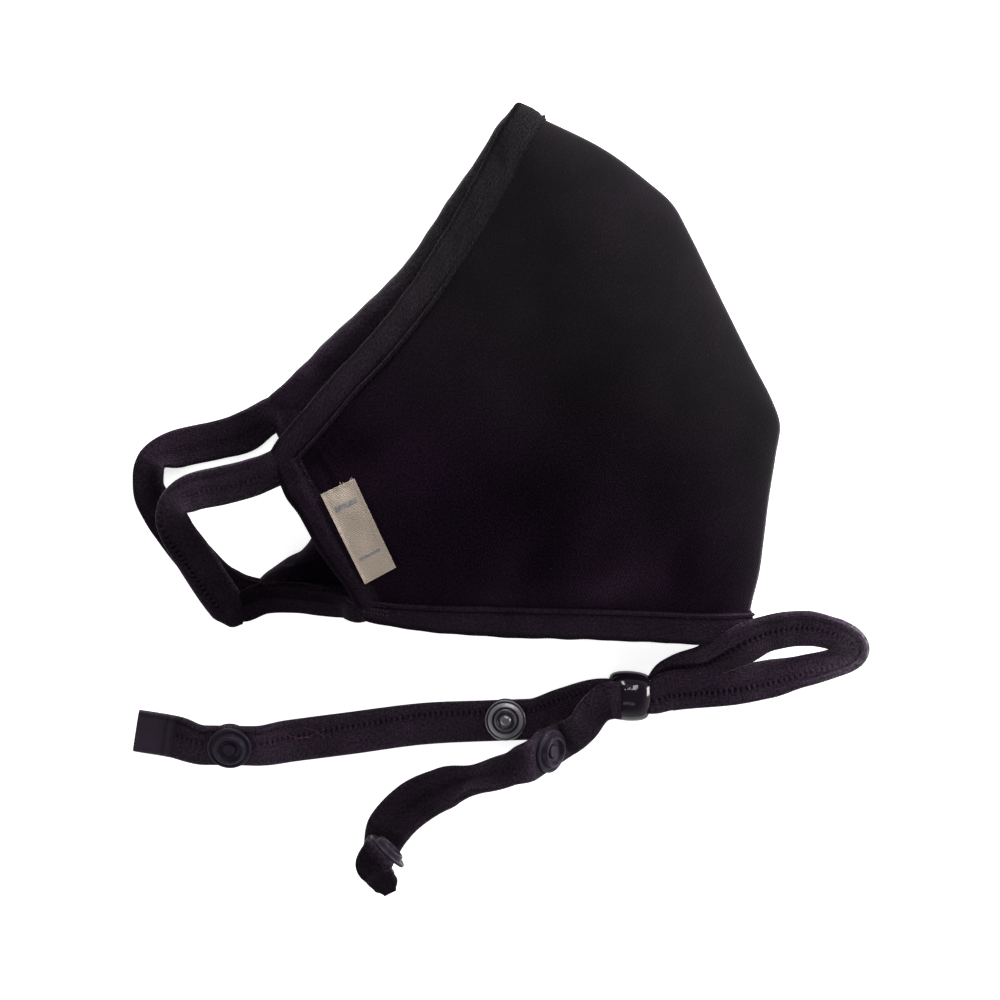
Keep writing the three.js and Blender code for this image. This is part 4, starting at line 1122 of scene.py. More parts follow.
# The stitched cord beside a binding's inner edge, or lip, and the groove behind the cord.
CORD = {"from_lip": 0.95, "width": 0.38, "height": 0.22}
GROOVE = {"from_lip": 1.75, "width": 0.35, "depth": 0.3}
HUG = 0.06  # gap between a binding's inner line and the cloth
FOLD_REACH = {"outer": 1.55, "inner": 0.3}  # how far a fold's two lines stand out past the cloth
# Painted light and shade: how much lighter each kind of binding is drawn, as a power of 2.
BINDING_TONE = {"top": 0, "bottom": 0.15, "side": -0.2}  # how light each kind of binding is


def lip_height(inward, band, front, calm):
    """Height of a binding over the cloth, by the distance from the edge. A thin foot lies on the
    cloth, a stitched cord stands beside it, and past a groove comes the plump body. Where calm
    falls to 0 the binding rises from the cloth in one long slope."""
    from_lip = band - inward
    step = smooth_step((from_lip - 0.4 * calm) / (0.35 + 5 * (1 - calm)))
    body = LIP * (0.72 + 0.28 * smooth_step((from_lip - 1.2) / 2.2)) * step
    cord = CORD["height"] * bell(from_lip - CORD["from_lip"], CORD["width"]) * front
    groove = GROOVE["depth"] * bell(from_lip - GROOVE["from_lip"], GROOVE["width"]) * front
    return body + (cord - groove) * calm + FOOT


def fold_section(half, column, edge):
    """One U of tape over an edge for each column: points from the inner edge over the fold to the
    back, and the matching points that lie on the cloth. Edge is 'top', 'bottom' or 'side'."""
    inward = np.concatenate([1 - FRONT, np.zeros(len(AROUND)), BACK])
    if edge == "side":
        up = column
        band = np.interp(up, SIDE_BANDS["share"], SIDE_BANDS["width"])
        share = 1 - band[:, None] * inward / half_width(half, up)[:, None]
        rows = np.broadcast_to(up[:, None], share.shape)
    else:
        end = 1.0 if edge == "top" else 0.0
        rows = np.full((len(column), len(inward)), end)
        for _ in range(3):
            share = share_at(half, np.broadcast_to(column[:, None], rows.shape), rows)
            band = np.interp(share[:, 0], BANDS["share"], BANDS[edge])
            length = column_length(half, share[:, 0])
            away = (band / length)[:, None] * inward
            rows = 1 - away if edge == "top" else away
    share = np.clip(share, 0, 1)
    cloth = face(half, share, rows, True)
    normals = face_normals(half, share, rows, True)
    edge_at = len(FRONT)
    inside = cloth[:, edge_at - 2] - cloth[:, edge_at]
    normal = normals[:, edge_at]
    beyond = -unit(inside - (inside * normal).sum(-1, keepdims=True) * normal)
    return cloth, normals, beyond, np.broadcast_to(band[:, None], rows.shape) * inward, band


def calm_at(edge, half, y):
    """How plainly a binding's cord and inner edge show: not at the nose, nor beside the label."""
    if edge == "top" and half == "near":
        return smooth_step((86 - y) / 26)
    if edge == "side" and half == "near":
        return 0.15 + 0.5 * smooth_step((y - 1) / 4)
    return np.full_like(y, 0.5 if edge == "side" else 1.0)


def binding_rings(half, column, edge):
    """Outer and inner lines of a binding's U at each column, before its ribs are raised.

    Returned with the outward direction and the distance from the fold of each outer point, the
    width, and a mark of 1 on the far half."""
    cloth, normals, beyond, inward, band = fold_section(half, column, edge)
    wall = settings().wall / MM
    n, back = len(FRONT), len(FRONT) + len(AROUND)
    end = back + len(BACK)
    calm = calm_at(edge, half, cloth[:, n - 1, 1:2])
    thin = 1 if edge == "side" else 0.35 + 0.65 * smooth_step(column[:, None] / 0.14)
    top = lip_height(inward[:, :n], band[:, None], 1.0, calm) * thin
    under = lip_height(inward[:, back:], band[:, None], 0.4, 1.0)
    middle = (cloth[:, n - 1] - normals[:, n - 1] * wall / 2)[:, None]
    normal, beyond = normals[:, n - 1][:, None], beyond[:, None]
    turn_up, turn_out = np.cos(AROUND)[None, :, None], np.sin(AROUND)[None, :, None]

    def lines(front, reach, out, behind):
        """The line over the front, round the fold and along the back, at heights over the cloth."""
        fold = middle + turn_up * reach * normal + turn_out * out * beyond
        face_line = cloth[:, :n] + normals[:, :n] * front
        return np.concatenate([face_line, fold, cloth[:, back:] - normals[:, back:] * (wall + behind)], 1)

    outer = lines(top[..., None], wall / 2 + top[:, -1:, None], FOLD_REACH["outer"], under[..., None])
    inner = lines(HUG, wall / 2 + HUG, FOLD_REACH["inner"], HUG)
    fold_direction = turn_up * normal + turn_out * beyond
    direction = np.concatenate([normals[:, :n], fold_direction, -normals[:, back:]], 1)
    keep = [*range(0, n, 4), *range(n, back, 2), *range(back, end, 3), end - 1]
    mark = np.full(len(column), float(half == "far"))
    return outer, inner[:, keep], direction, inward, band, mark


def resample(arrays, line, step):
    """Arrays along a line, read again at equal steps of its length."""
    length = line_length(line)
    wanted = np.linspace(0, length[-1], int(length[-1] / step) + 1)
    i = np.clip(np.searchsorted(length, wanted, side="right") - 1, 0, len(length) - 2)
    t = (wanted - length[i]) / np.maximum(length[i + 1] - length[i], 1e-9)
    picked = []
    for values in arrays:
        share = t.reshape((-1,) + (1,) * (values.ndim - 1))
        picked.append(values[i] * (1 - share) + values[i + 1] * share)
    return wanted, picked


def binding_arrays(edge, half=None):
    """Arrays of a binding's sections in order along it: a side's from chin to nose, and otherwise
    the near half's from ear to seam, followed by the far half's from seam to ear."""
    if edge == "side":
        return binding_rings(half, np.linspace(0.055, 0.945, 120), edge)
    near, far = (binding_rings(h, cloth_columns(60, 130), edge) for h in ("near", "far"))
    return [np.concatenate([a[::-1], b[1:]]) for a, b in zip(near, far)]


def bumps(along, pitch):
    """Rounded bumps of a pitch along a line, as the size of a sine."""
    return np.abs(np.sin(np.pi * along / pitch))


def far_tone(inward, from_lip):
    """Painted light and shade on the far half's bindings: painted light along the fold and painted shade
    under the near half.
    """
    fold = smooth_step((3.6 - inward) / 3.4) * smooth_step(from_lip / 2)
    return 1.25 * fold - 0.1


def build_binding(name, edge, node, half=None):
    """Knit tape folded over an edge: a U section carried along it, with a rib across each course,
    a bumpy stitched cord beside its inner edge, and soft waves."""
    arrays = binding_arrays(edge, half)
    middle = arrays[0][:, len(FRONT) - 6]
    along, arrays = resample(arrays, middle, BINDING_RIB / RIB_STEPS)
    outer, inner, direction, inward, band, mark = arrays
    from_lip = band[:, None] - inward
    index = np.arange(outer.shape[1])[None]
    front = (index < len(FRONT)).astype(float)
    a, far = along[:, None], mark[:, None]
    y = outer[:, len(FRONT) - 1, 1:2]
    calm = calm_at(edge, "near", y) * (1 - far) + calm_at(edge, "far", y) * far
    body = smooth_step((from_lip - 1.9) / 0.9)
    slant = np.where(front > 0, 0.35, 0) * inward
    rib = np.cos(2 * np.pi * (a + slant) / BINDING_RIB)
    patch = 0.6 + 0.4 * np.sin(a * 0.19 + 0.6) * np.sin(a * 0.083)
    wave = 0.08 * np.sin(a * 0.37 + 1.3 * np.sin(a * 0.113)) + 0.06 * np.sin(a * 0.71 + inward * 0.5)
    raised = (0.045 * rib * patch * (0.3 + 0.7 * calm) + wave) * body
    cord = bell(from_lip - CORD["from_lip"], CORD["width"]) * front * calm
    knots = bumps(a + 0.5 * from_lip, settings().stitch_pitch / MM)
    raised = raised + cord * (0.2 * knots - 0.12)
    ends = smooth_step(np.minimum(a, along[-1] - a) / 0.8)
    outer = outer + direction * (raised * ends)[..., None]

    # The tone paints light and shade: painted shade in a dark line at the lip, along the cord and in the
    # groove, painted light on the knots, ribs and the far half's fold, and painted shade on the upper
    # binding towards the nose and on the near half's fold.
    shown = np.where(far > 0.5, 1 - front, front)
    groove = bell(from_lip - GROOVE["from_lip"], GROOVE["width"]) * front * calm
    tone = -1.3 * smooth_step((0.62 - from_lip) / 0.25) * shown * (0.35 + 0.65 * calm)
    tone = tone + cord * (0.35 * knots - 0.5) - 0.9 * groove
    tone = tone + 0.18 * rib * patch * body * front * (0.3 + 0.7 * calm)
    lit = {"top": smooth_step((y - 28) / 14), "bottom": 1, "side": 0.5}[edge]
    tone = tone + far * far_tone(inward, from_lip) * lit + BINDING_TONE[edge]
    if edge == "top":
        tone = tone - 0.25 * smooth_step((y - 66) / 30)
    upper = index < len(FRONT) + len(AROUND) // 2
    tone = tone - 0.9 * (1 - far) * upper * smooth_step((1.1 - inward) / 0.9)
    rings = np.concatenate([outer, inner[:, ::-1]], 1)
    rings[..., 2] = np.maximum(rings[..., 2], 0)
    tones = np.concatenate([tone, np.zeros(inner.shape[:2])], 1)
    piece = tube(name, rings, along, outer.shape[1], tone=tones)
    dress(piece, "binding_knit", replaces=(node,))
    return along, outer, direction


STITCHED = {"to": 74, "side_from": 2}  # y up to which the cords show, and from which on the sides
TACKS = ((-33.8, 7.5, 26), (56.5, 8, 9))  # pale threads that lock the lower binding: x, length, count


def bar_tack(along, outer, direction, x, length, count):
    """Short zigzag threads across a binding's face, over a length of it."""
    near_rings = outer[: len(outer) // 2, 20]
    middle = along[np.argmin(np.abs(near_rings[:, 0] - x))]
    spots = np.linspace(middle - length / 2, middle + length / 2, count)
    turn = np.arange(count)
    points = 11 + (turn * 5) % 15
    i = np.clip(np.searchsorted(along, spots), 1, len(along) - 2)
    centre, up = outer[i, points], direction[i, points]
    run = unit(outer[i + 1, points] - outer[i - 1, points])
    lean = run + np.cross(up, run) * np.where(turn % 2, 0.9, -0.9)[:, None]
    return centre + up * 0.03, lean, up, np.broadcast_to([0.75, 0.26, 0.26], centre.shape)


def stitches(along, outer, direction, edge):
    """Slanting threads of the cord along a binding's inner edge: their centres, directions, ups
    and sizes, at even steps and only where the cord shows."""
    pitch = settings().stitch_pitch / MM
    row = int(np.argmin(np.abs(FRONT - CORD["from_lip"] / BANDS["top"][0])))
    spots = np.arange(pitch * 0.7, along[-1] - pitch * 0.7, pitch)

    def at_spots(values):
        """Values along the binding, read at the spots."""
        return np.stack([np.interp(spots, along, column) for column in values.T], -1)

    line = outer[:, row]
    spot, up = at_spots(line), unit(at_spots(direction[:, row]))
    run = unit(at_spots(np.gradient(line, axis=0)))
    shown = spot[:, 1] < STITCHED["to"]
    if edge == "side":
        shown = shown & (spot[:, 1] > STITCHED["side_from"])
    sizes = np.broadcast_to([pitch * 0.85, 0.4, 0.4], spot.shape)
    return [a[shown] for a in (spot - up * 0.02, run + np.cross(up, run) * 0.5, up, sizes)]


def build_bindings():
    """All four bindings, with the threads of their cords and the tacks of the lower one."""
    lines = [
        build_binding("upper_binding", "top", "top_binding"),
        build_binding("lower_binding", "bottom", "bottom_binding"),
        build_binding("near_ear_binding", "side", "side_binding_near", "near"),
        build_binding("far_ear_binding", "side", "side_binding_far", "far"),
    ]
    tacks = [bar_tack(*lines[1], *place) for place in TACKS]
    dress(grains("bar_tacks", *(np.concatenate(a) for a in zip(*tacks))), "binding_knit", "pale_thread")
    cords = [stitches(*line, edge) for line, edge in zip(lines, ("top", "bottom", "side", "side"))]
    piece = grains("binding_stitches", *(np.concatenate(a) for a in zip(*cords)))
    dress(piece, "binding_knit", "sewing_thread")


# ---------- tapes ----------
def tape_knots(rows, start=None, end=None):
    """Points, directions, roll, width and thickness of a tape's knots. A held row gives two."""
    knots = [] if start is None else [start]
    for values in zip(*rows.values()):
        row = dict(zip(rows, values))
        at = np.array([row["x"], row["y"], row["z"]])
        if row.get("hold", 0):
            heading = heading_of(row["turn"], row["slope"])
            knots += [(at + heading * hold, heading, row) for hold in (-row["hold"], row["hold"])]
        else:
            knots.append((at, None, row))
    if end is not None:
        knots.append(end)
    points = np.array([k[0] for k in knots])
    around = unit(np.vstack([points[1:], points[-1:]]) - np.vstack([points[:1], points[:-1]]))
    headings = np.array([around[i] if k[1] is None else k[1] for i, k in enumerate(knots)])
    sizes = np.array([[k[2]["roll"], k[2]["width"], k[2]["thick"]] for k in knots])
    return points, headings, sizes


def heading_of(turn, slope):
    """Unit direction of a turn in the plan and a slope above it, in degrees."""
    turn, slope = math.radians(turn), math.radians(slope)
    return np.array([math.cos(turn) * math.cos(slope), math.sin(turn) * math.cos(slope), math.sin(slope)])


def cubic(points, headings, i, t):
    """Place and direction between knots: the cubic through both with their directions, each
    weighed by the distance between them."""
    chord = np.linalg.norm(points[i + 1] - points[i], axis=-1, keepdims=True)
    t = t[:, None]
    at = (
        points[i] * (1 - 3 * t**2 + 2 * t**3)
        + points[i + 1] * (3 * t**2 - 2 * t**3)
        + headings[i] * chord * t * (1 - t) ** 2
        + headings[i + 1] * chord * t**2 * (t - 1)
    )
    run = (
        (points[i + 1] - points[i]) * 6 * t * (1 - t)
        + headings[i] * chord * (1 - t) * (1 - 3 * t)
        + headings[i + 1] * chord * t * (3 * t - 2)
    )
    return at, unit(run)


def tape_frames(rows, step, start=None, end=None, span=(0, None)):
    """Frames at equal steps along a tape: place, across, up, width and thickness."""
    points, headings, sizes = tape_knots(rows, start, end)
    stop = len(points) - 1 if span[1] is None else span[1]
    dense = np.linspace(span[0], stop, (stop - span[0]) * 80 + 1)
    i = np.minimum(dense.astype(int), len(points) - 2)
    at, _ = cubic(points, headings, i, dense - i)
    length = line_length(at)
    along = np.linspace(0, length[-1], int(length[-1] / step) + 1)
    spot = np.interp(along, length, dense)
    i = np.minimum(spot.astype(int), len(points) - 2)
    t = spot - i
    at, run = cubic(points, headings, i, t)
    level = unit(np.stack([-run[:, 1], run[:, 0], np.zeros(len(run))], -1))
    lift = np.cross(run, level)
    eased = smooth_step(t)[:, None]
    roll, width, thick = (sizes[i] * (1 - eased) + sizes[i + 1] * eased).T
    turn = np.radians(roll)[:, None]
    across = level * np.cos(turn) + lift * np.sin(turn)
    return {
        "along": along,
        "at": at,
        "run": run,
        "across": across,
        "up": np.cross(run, across),
        "width": width,
        "thick": thick,
        "spot": spot,
    }


MORPH = 9.0  # length over which a loop's section grows out of its binding's
COURSE = 0.9  # spacing of the fine courses across a tape
YARN = 0.72  # spacing of the yarns along a tape


def tape_section(frames, relief_of, joints=(None, None), top=37, under=17):
    """Rings of a flat tape and their tones: half its thickness times (1 - |v|^9)^0.45 over its
    width, raised on both faces by a relief of the length along and the place across.

    At a joint the section starts as the outline of the binding's end, whose two lines are given
    in the tape's own directions, and eases into the tape's over a length."""

    def places(count):
        """Places across the tape from -1 to 1, closer together at its rims."""
        t = np.linspace(-1, 1, count)
        return 0.996 * t * (1.14 - 0.14 * t * t)

    v = np.concatenate([places(top), places(under)[::-1]])[None]
    side = np.concatenate([np.ones(top), -np.ones(under)])[None]
    shape = (1 - np.abs(v) ** 9) ** 0.45
    half = frames["width"][:, None] / 2
    along = frames["along"][:, None]
    raised, tone = relief_of(frames, along, v, half)
    height = side * (frames["thick"][:, None] / 2 * shape + raised * np.minimum(shape * 1.2, 1))
    place = v * half
    shift = np.zeros_like(height)
    for joint, away in zip(joints, (along, along[-1] - along)):
        if joint is None:
            continue
        eased = smooth_step(away / MORPH)
        x = v * joint["half"]
        up, out = (
            np.where(side > 0, *(np.interp(x, line[:, 0], line[:, column]) for line in joint["faces"]))
            for column in (1, 2)
        )
        place = x * (1 - eased) + place * eased
        height = up * (1 - eased) + height * eased
        shift = shift + out * (1 - eased)
        tone = tone * smooth_step(away / 2.5)
    points = (
        frames["at"][:, None]
        + frames["across"][:, None] * place[..., None]
        + frames["up"][:, None] * height[..., None]
        + frames["run"][:, None] * shift[..., None]
    )
    around = np.concatenate([v * half, v[:, :1] * half], 1)
    return points, tone, around, top


def on_line(rows, spot, column):
    """A line's column at the spots along its tape."""
    return np.interp(spot, rows["spot"], rows[column])[:, None]


def knitted(row=None, pitch=1.55, lean=0.3, lines=(), shade=None, tall=0.65, fold=None):
    """Relief and painted light and shade of knitted elastic. Fine courses cross it, its rims are
    rounded up and painted lighter, a row of slots in painted shade between lighter posts runs along
    it, each line is a bell across the tape, a fold is a bell along it, and shade gives the painted light or
    shade of the whole width."""

    def relief_of(frames, a, v, half):
        """Relief and painted light and shade at lengths along the tape and shares of its half width across
        it.
        """
        x = v * half
        spot = frames["spot"]
        edge = bell((np.abs(v) - 0.88) * half, 0.6)
        rib = np.cos(2 * np.pi * (a + 0.12 * np.abs(x)) / COURSE)
        yarn = np.cos(2 * np.pi * x / YARN)
        wave = 0.06 * np.sin(a * 0.33 + x * 0.2) + 0.05 * np.sin(a * 0.81 + 1.1)
        raised = 0.06 * edge + 0.004 * rib + 0.008 * yarn + wave
        tone = 0.1 * edge + 0.015 * rib + 0.03 * yarn
        if shade is not None:
            tone = tone + on_line(shade, spot, "tone")
        if row is not None:
            off = x - on_line(row, spot, "at") * half
            inside = np.exp(-((off / tall) ** 4))
            swing = 0.5 + 0.5 * np.cos(2 * np.pi * (a + lean * np.abs(off)) / pitch)
            slot = smooth_step((swing - 0.3) / 0.4)
            height, dark = on_line(row, spot, "height"), on_line(row, spot, "tone")
            raised = raised + inside * (height * slot - 0.3 * height * (1 - slot))
            tone = tone + inside * (dark * slot - 0.12 * dark * (1 - slot))
            groove = bell(np.abs(off) - tall - 0.5, 0.35)
            raised = raised + 0.3 * height * groove
            tone = tone + 0.22 * dark * groove
        if fold is not None:
            fold_at = np.interp(fold["spot"], spot, frames["along"])
            near_fold = bell(a - fold_at + fold["lean"] * x, fold["width"])
            raised, tone = raised + fold["height"] * near_fold, tone + fold["tone"] * near_fold
        for width, rows in lines:
            near_line = bell(x - on_line(rows, spot, "at") * half, width)
            raised = raised + on_line(rows, spot, "height") * near_line
            tone = tone + on_line(rows, spot, "tone") * near_line
        return raised, tone

    return relief_of


def build_tape(name, slot, frames, relief_of, nodes, joints=(None, None)):
    """A tape through its frames, with the relief of its knit and its painted light and shade."""
    points, tone, around, top = tape_section(frames, relief_of, joints)
    points[..., 2] = np.maximum(points[..., 2], 0)
    piece = tube(name, points, frames["along"], top, around, tone=tone)
    return dress(piece, slot, replaces=nodes)


# ---------- the ear loops ----------
def binding_end(half, edge):
    """A knot where an ear loop meets a binding's ear end: the middle of the folded tape there, its
    heading out of the end, and its roll and width, with the end's outline seen along the heading."""
    ring = binding_rings(half, np.array([1.99, 2.0]), edge)[0][1]
    lips = (ring[0] + ring[-1]) / 2
    middle = len(FRONT) + len(AROUND) // 2
    fold = ring[middle]
    across = lips - fold
    up = ring[0] - ring[-1]
    up = up if up[2] > 0 else -up
    up = up - across * (up @ across) / (across @ across)
    up, across_unit = unit(up), unit(across)
    heading = np.cross(across_unit, up)
    level = unit(np.array([-heading[1], heading[0], 0]))
    roll = math.degrees(math.atan2(-up @ level, across_unit @ level))
    at, width = (lips + fold) / 2, np.linalg.norm(across)
    seen = (ring - at) @ np.stack([across_unit, up, heading], -1)
    faces = [part[np.argsort(part[:, 0])] for part in (seen[: middle + 1], seen[middle:])]
    faces.sort(key=lambda part: -part[:, 1].mean())
    return (at, heading, {"roll": roll, "width": width, "thick": 3.8}), {"half": width / 2, "faces": faces}


def build_ear_loops():
    """Both ear loops. The near one is folded where its lower strand turns back to the mask."""
    step = settings().knit_pitch / MM / RIB_STEPS
    start, joint = binding_end("near", "top")
    upper = tape_frames(NEAR_LOOP_UPPER, step, start=start)
    knit_of = knitted(NEAR_ROW, 1.45, 0.2, NEAR_LINES, NEAR_SHADE, 0.5)
    build_tape("near_loop_upper", "elastic_knit", upper, knit_of, ("ear_loop_near",), (joint, None))
    end, joint = binding_end("near", "bottom")
    lower = tape_frames(NEAR_LOOP_LOWER, step, end=end)
    knit_of = knitted(None, lines=LOWER_LINES, shade=LOWER_SHADE)
    build_tape("near_loop_lower", "elastic_knit", lower, knit_of, ("ear_loop_near",), (None, joint))
    (start, first), (end, last) = binding_end("far", "top"), binding_end("far", "bottom")
    far = tape_frames(FAR_LOOP, step, start=start, end=end)
    knit_of = knitted(FAR_ROW, 1.3, 0.2, FAR_LINES, FAR_SHADE, 0.6, FAR_FOLD)
    build_tape("far_loop", "elastic_knit", far, knit_of, ("ear_loop_far",), (first, last))


# ---------- the head strap ----------
def satin(frames, a, v, half):
    """Relief and painted light and shade of the satin tab: fine threads along it, soft waves, and a bumpy
    hem; the hem and a line beside the edge are in painted shade and the hem's bumps in painted light.
    """
    hem = smooth_step((a - (a[-1] - 4.2)) / 0.7)
    ridge = bumps(a, 2.1) * hem
    edge = bell((v - 0.93) * half, 0.5)
    raised = 0.03 * np.cos(2 * np.pi * v * half / 0.9) + 0.25 * ridge + 0.05 * np.sin(a * 0.6) + 0.1 * edge
    tone = -0.5 * hem + 0.4 * ridge - 0.7 * bell((v - 0.8) * half, 0.4) + 0.05 * np.cos(a * 1.3)
    return raised, tone


def build_strap():
    """The head strap with its row of stitches, its free end, and the satin tab sewn to its end."""
    step = settings().knit_pitch / MM / RIB_STEPS
    knit_of = knitted(STRAP_ROW, settings().chain_pitch / MM, 0.35, STRAP_LINES, STRAP_SHADE)
    strap = tape_frames(STRAP, step, span=(TAB_SPAN, None))
    build_tape("strap", "elastic_knit", strap, knit_of, ("head_strap",))
    knit_of = knitted(None, lines=FREE_LINES, shade=FREE_SHADE)
    build_tape("strap_free_end", "elastic_knit", tape_frames(FREE_END, step), knit_of, ("head_strap",))
    tab = tape_frames(STRAP, step, span=(0, TAB_SPAN))
    build_tape("strap_tab", "satin_tape", tab, satin, ("strap_end_tab",))
    build_lint()


# Fine hairs caught on the strap: their two ends in the plan, and how far they bow.
HAIRS = (
    ((-61.6, -63.6), (-52, -65.6), -0.9),
    ((-57, -66.1), (-48.6, -63.4), -0.6),
    ((-54, -63), (-48.4, -65.8), 0.4),
)


def build_lint():
    """Three fine reddish hairs caught on the strap: each a chain of short grains along an arc."""
    chains = []
    t = np.linspace(0, 1, 40)[:, None]
    for start, end, bow in HAIRS:
        arc = bow * np.array([[0.25, 1]]) * np.sin(np.pi * t)
        line = np.array(start) * (1 - t) + np.array(end) * t + arc
        height = 4.6 + 0.12 * np.sin(9 * t) - 0.09 * (line[:, :1] + 62)
        chains.append(np.concatenate([line, height], 1))
    spots = np.concatenate(chains)
    run = np.concatenate([np.gradient(chain, axis=0) for chain in chains])
    up = np.broadcast_to([0.0, 0.0, 1.0], spots.shape)
    hairs = grains("strap_lint", spots, run, up, np.broadcast_to([0.4, 0.07, 0.07], spots.shape))
    dress(hairs, "elastic_knit", "red_lint")


# ---------- hardware ----------
def smooth_profile(rows, count):
    """A half profile read again at equal steps of its length, its corners slightly rounded."""
    line = even_steps(np.stack([rows["r"], rows["h"]], -1), count)
    eased = line.copy()
    eased[1:-1] = (line[:-2] + 2 * line[1:-1] + line[2:]) / 4
    return {"r": np.maximum(eased[:, 0], 0), "h": eased[:, 1]}


# How far a stud's face stands off its tape, how large a male face is beside its profile, and how
# many points the profiles are read at.
STUD_FIT = {"seat": 0.08, "scale": 0.92, "points": 54, "cap_points": 26}


def build_studs():
    """The press studs: a socket or stud face on one side of the strap and a cap on the other."""
    rows = [dict(zip(STRAP, values)) for part in (STRAP, FREE_END) for values in zip(*part.values())]
    for number, row in enumerate((row for row in rows if row["snap"]), 1):
        run = heading_of(row["turn"], row["slope"])
        level = unit(np.array([-run[1], run[0], 0]))
        roll = math.radians(row["roll"])
        across = level * math.cos(roll) + np.cross(run, level) * math.sin(roll)
        up = np.cross(run, across)
        at = np.array([row["x"], row["y"], row["z"]]) + ASIDE.get(number, 0) * across
        seat = row["thick"] / 2 + STUD_FIT["seat"]
        if row["snap"] == 1:
            profile, finish = smooth_profile(SOCKET_PROFILE, STUD_FIT["points"]), "snap_plastic"
        else:
            profile, finish = smooth_profile(STUD_PROFILE, STUD_FIT["points"]), "stud_plastic"
            profile["r"] = profile["r"] * STUD_FIT["scale"]
        face_piece = turned(f"stud_face_{number}", profile, at + up * seat, across, up)
        dress(face_piece, "snap_plastic", finish, replaces=(f"snap_face_{number}",))
        profile = smooth_profile(CAP_PROFILE, STUD_FIT["cap_points"])
        cap = turned(f"stud_cap_{number}", profile, at - up * seat, across, -up)
        dress(cap, "snap_plastic", replaces=(f"snap_cap_{number}",))


# The toggle's place, turn and size, and its slot, which widens by the flare at both mouths.
TOGGLE = {"x": 35.6, "y": -54.1, "z": 4.8, "turn": -4, "length": 11.4, "width": 13.9, "height": 9.6}
TOGGLE_SLOT = {"width": 9.5, "height": 6.1, "flare": 0.35}
# Width of the barrel by the share of its length from its middle.
BARREL = table(
    "share size",
    (0, 1), (0.14, 0.992), (0.27, 0.965), (0.36, 0.927), (0.42, 0.885), (0.465, 0.835), (0.49, 0.785),
    (0.5, 0.74),
)


def oval(share, width, height, power, sides=96):
    """An upright oval across the toggle at a share of its length: a circle whose cosine and sine
    are raised to a power, which squares it as the power falls."""
    angle = np.linspace(0, 2 * np.pi, sides, endpoint=False) + np.pi / sides
    c, s = np.cos(angle), np.sin(angle)
    x = np.full(sides, share * TOGGLE["length"])
    y = np.sign(c) * np.abs(c) ** power * width / 2
    return np.stack([x, y, np.sign(s) * np.abs(s) ** power * height / 2], -1)


def build_toggle():
    """The toggle: ovals of the barrel's sizes from end to end, and back through its slot."""
    rings = []
    for share in np.sin(np.linspace(-np.pi / 2, np.pi / 2, 46)) / 2:
        width = TOGGLE["width"] * np.interp(abs(share), BARREL["share"], BARREL["size"])
        height = TOGGLE["height"] * (1 - 0.3 * abs(2 * share) ** 4)
        rings.append(oval(share, width, height, 0.97))
    for share in np.linspace(0.5, -0.5, 14):
        flare = TOGGLE_SLOT["flare"] * abs(2 * share) ** 6
        rings.append(oval(share, TOGGLE_SLOT["width"] + flare, TOGGLE_SLOT["height"] + flare, 0.35))
    points = np.array(rings)
    quads = ring_quads(*points.shape[:2], closed=True)[:, [0, 3, 2, 1]]
    c, s = math.cos(math.radians(TOGGLE["turn"])), math.sin(math.radians(TOGGLE["turn"]))
    x, y, z = np.moveaxis(points.reshape(-1, 3), -1, 0)
    placed = np.stack([x * c - y * s + TOGGLE["x"], x * s + y * c + TOGGLE["y"], z + TOGGLE["z"]], -1)
    piece = mesh_piece("strap_toggle", placed, quads, sharp=50)
    dress(piece, "toggle_plastic", replaces=("toggle",))


# ---------- the label ----------
def build_label():
    """The woven label: a thin cloth over the near half, with weave ribs, soft waves and a frayed
    upper end."""
    t, w = np.meshgrid(np.linspace(0, 1, 190), np.linspace(0, 1, 70), indexing="ij")
    left, right = LABEL_CORNERS[:, None, 0], LABEL_CORNERS[:, None, 1]
    ends = left + (right - left) * w[0][None, :, None]
    spot = ends[0][None] * (1 - t[..., None]) + ends[1][None] * t[..., None]
    ragged = 0.05 * np.sin(w * 41) + 0.05 * np.sin(w * 97 + 1)
    spot = spot + (ragged * (t < 0.02))[..., None] * unit(ends[1] - ends[0])[None]
    shares = find_on_near(spot[..., 0], spot[..., 1])
    height = face("near", *shares, True)[..., 2]
    u, v = t * LABEL["length"], w * LABEL["width"]
    weave = 0.04 * np.cos(2 * np.pi * u / LABEL["warp"]) * np.cos(2 * np.pi * v / LABEL["weft"])
    edge = np.minimum(np.minimum(v, LABEL["width"] - v), np.minimum(u, LABEL["length"] - u))
    lift = 0.25 + 0.22 * smooth_step(1 - edge / 1.2) + 0.18 * np.sin(u * 0.45) * np.sin(v * 0.6)
    top = np.concatenate([spot, (height + lift + LABEL["thick"] + weave)[..., None]], -1)
    under = np.concatenate([spot, (height + lift)[..., None]], -1)
    piece = shell("woven_label_cloth", top, under, u, v)
    dress(piece, "woven_label", replaces=("label",))
    fray_label(top[0])


def fray_label(end, threads=5):
    """Short loose threads at points of the label's upper end, leaning out of it at random."""
    random = np.random.default_rng(7)
    start = end[random.integers(0, len(end), threads)]
    leans = ((-0.4, 0.5), (0.9, 0.3), (0.1, 0.2))
    lean = np.stack([random.normal(middle, spread, threads) for middle, spread in leans], -1)
    length = random.uniform(0.4, 0.9, threads)
    sizes = np.stack([length, np.full(threads, 0.16), np.full(threads, 0.16)], -1)
    up = np.broadcast_to([0.0, 0.0, 1.0], lean.shape)
    frayed = grains("label_threads", start + unit(lean) * length[:, None] * 0.4, lean, up, sizes)
    dress(frayed, "woven_label")


# ---------- the stage ----------
TOGGLE_SPOT = (0.036, -0.054, 0)  # under the toggle, in metres, where the small lights aim
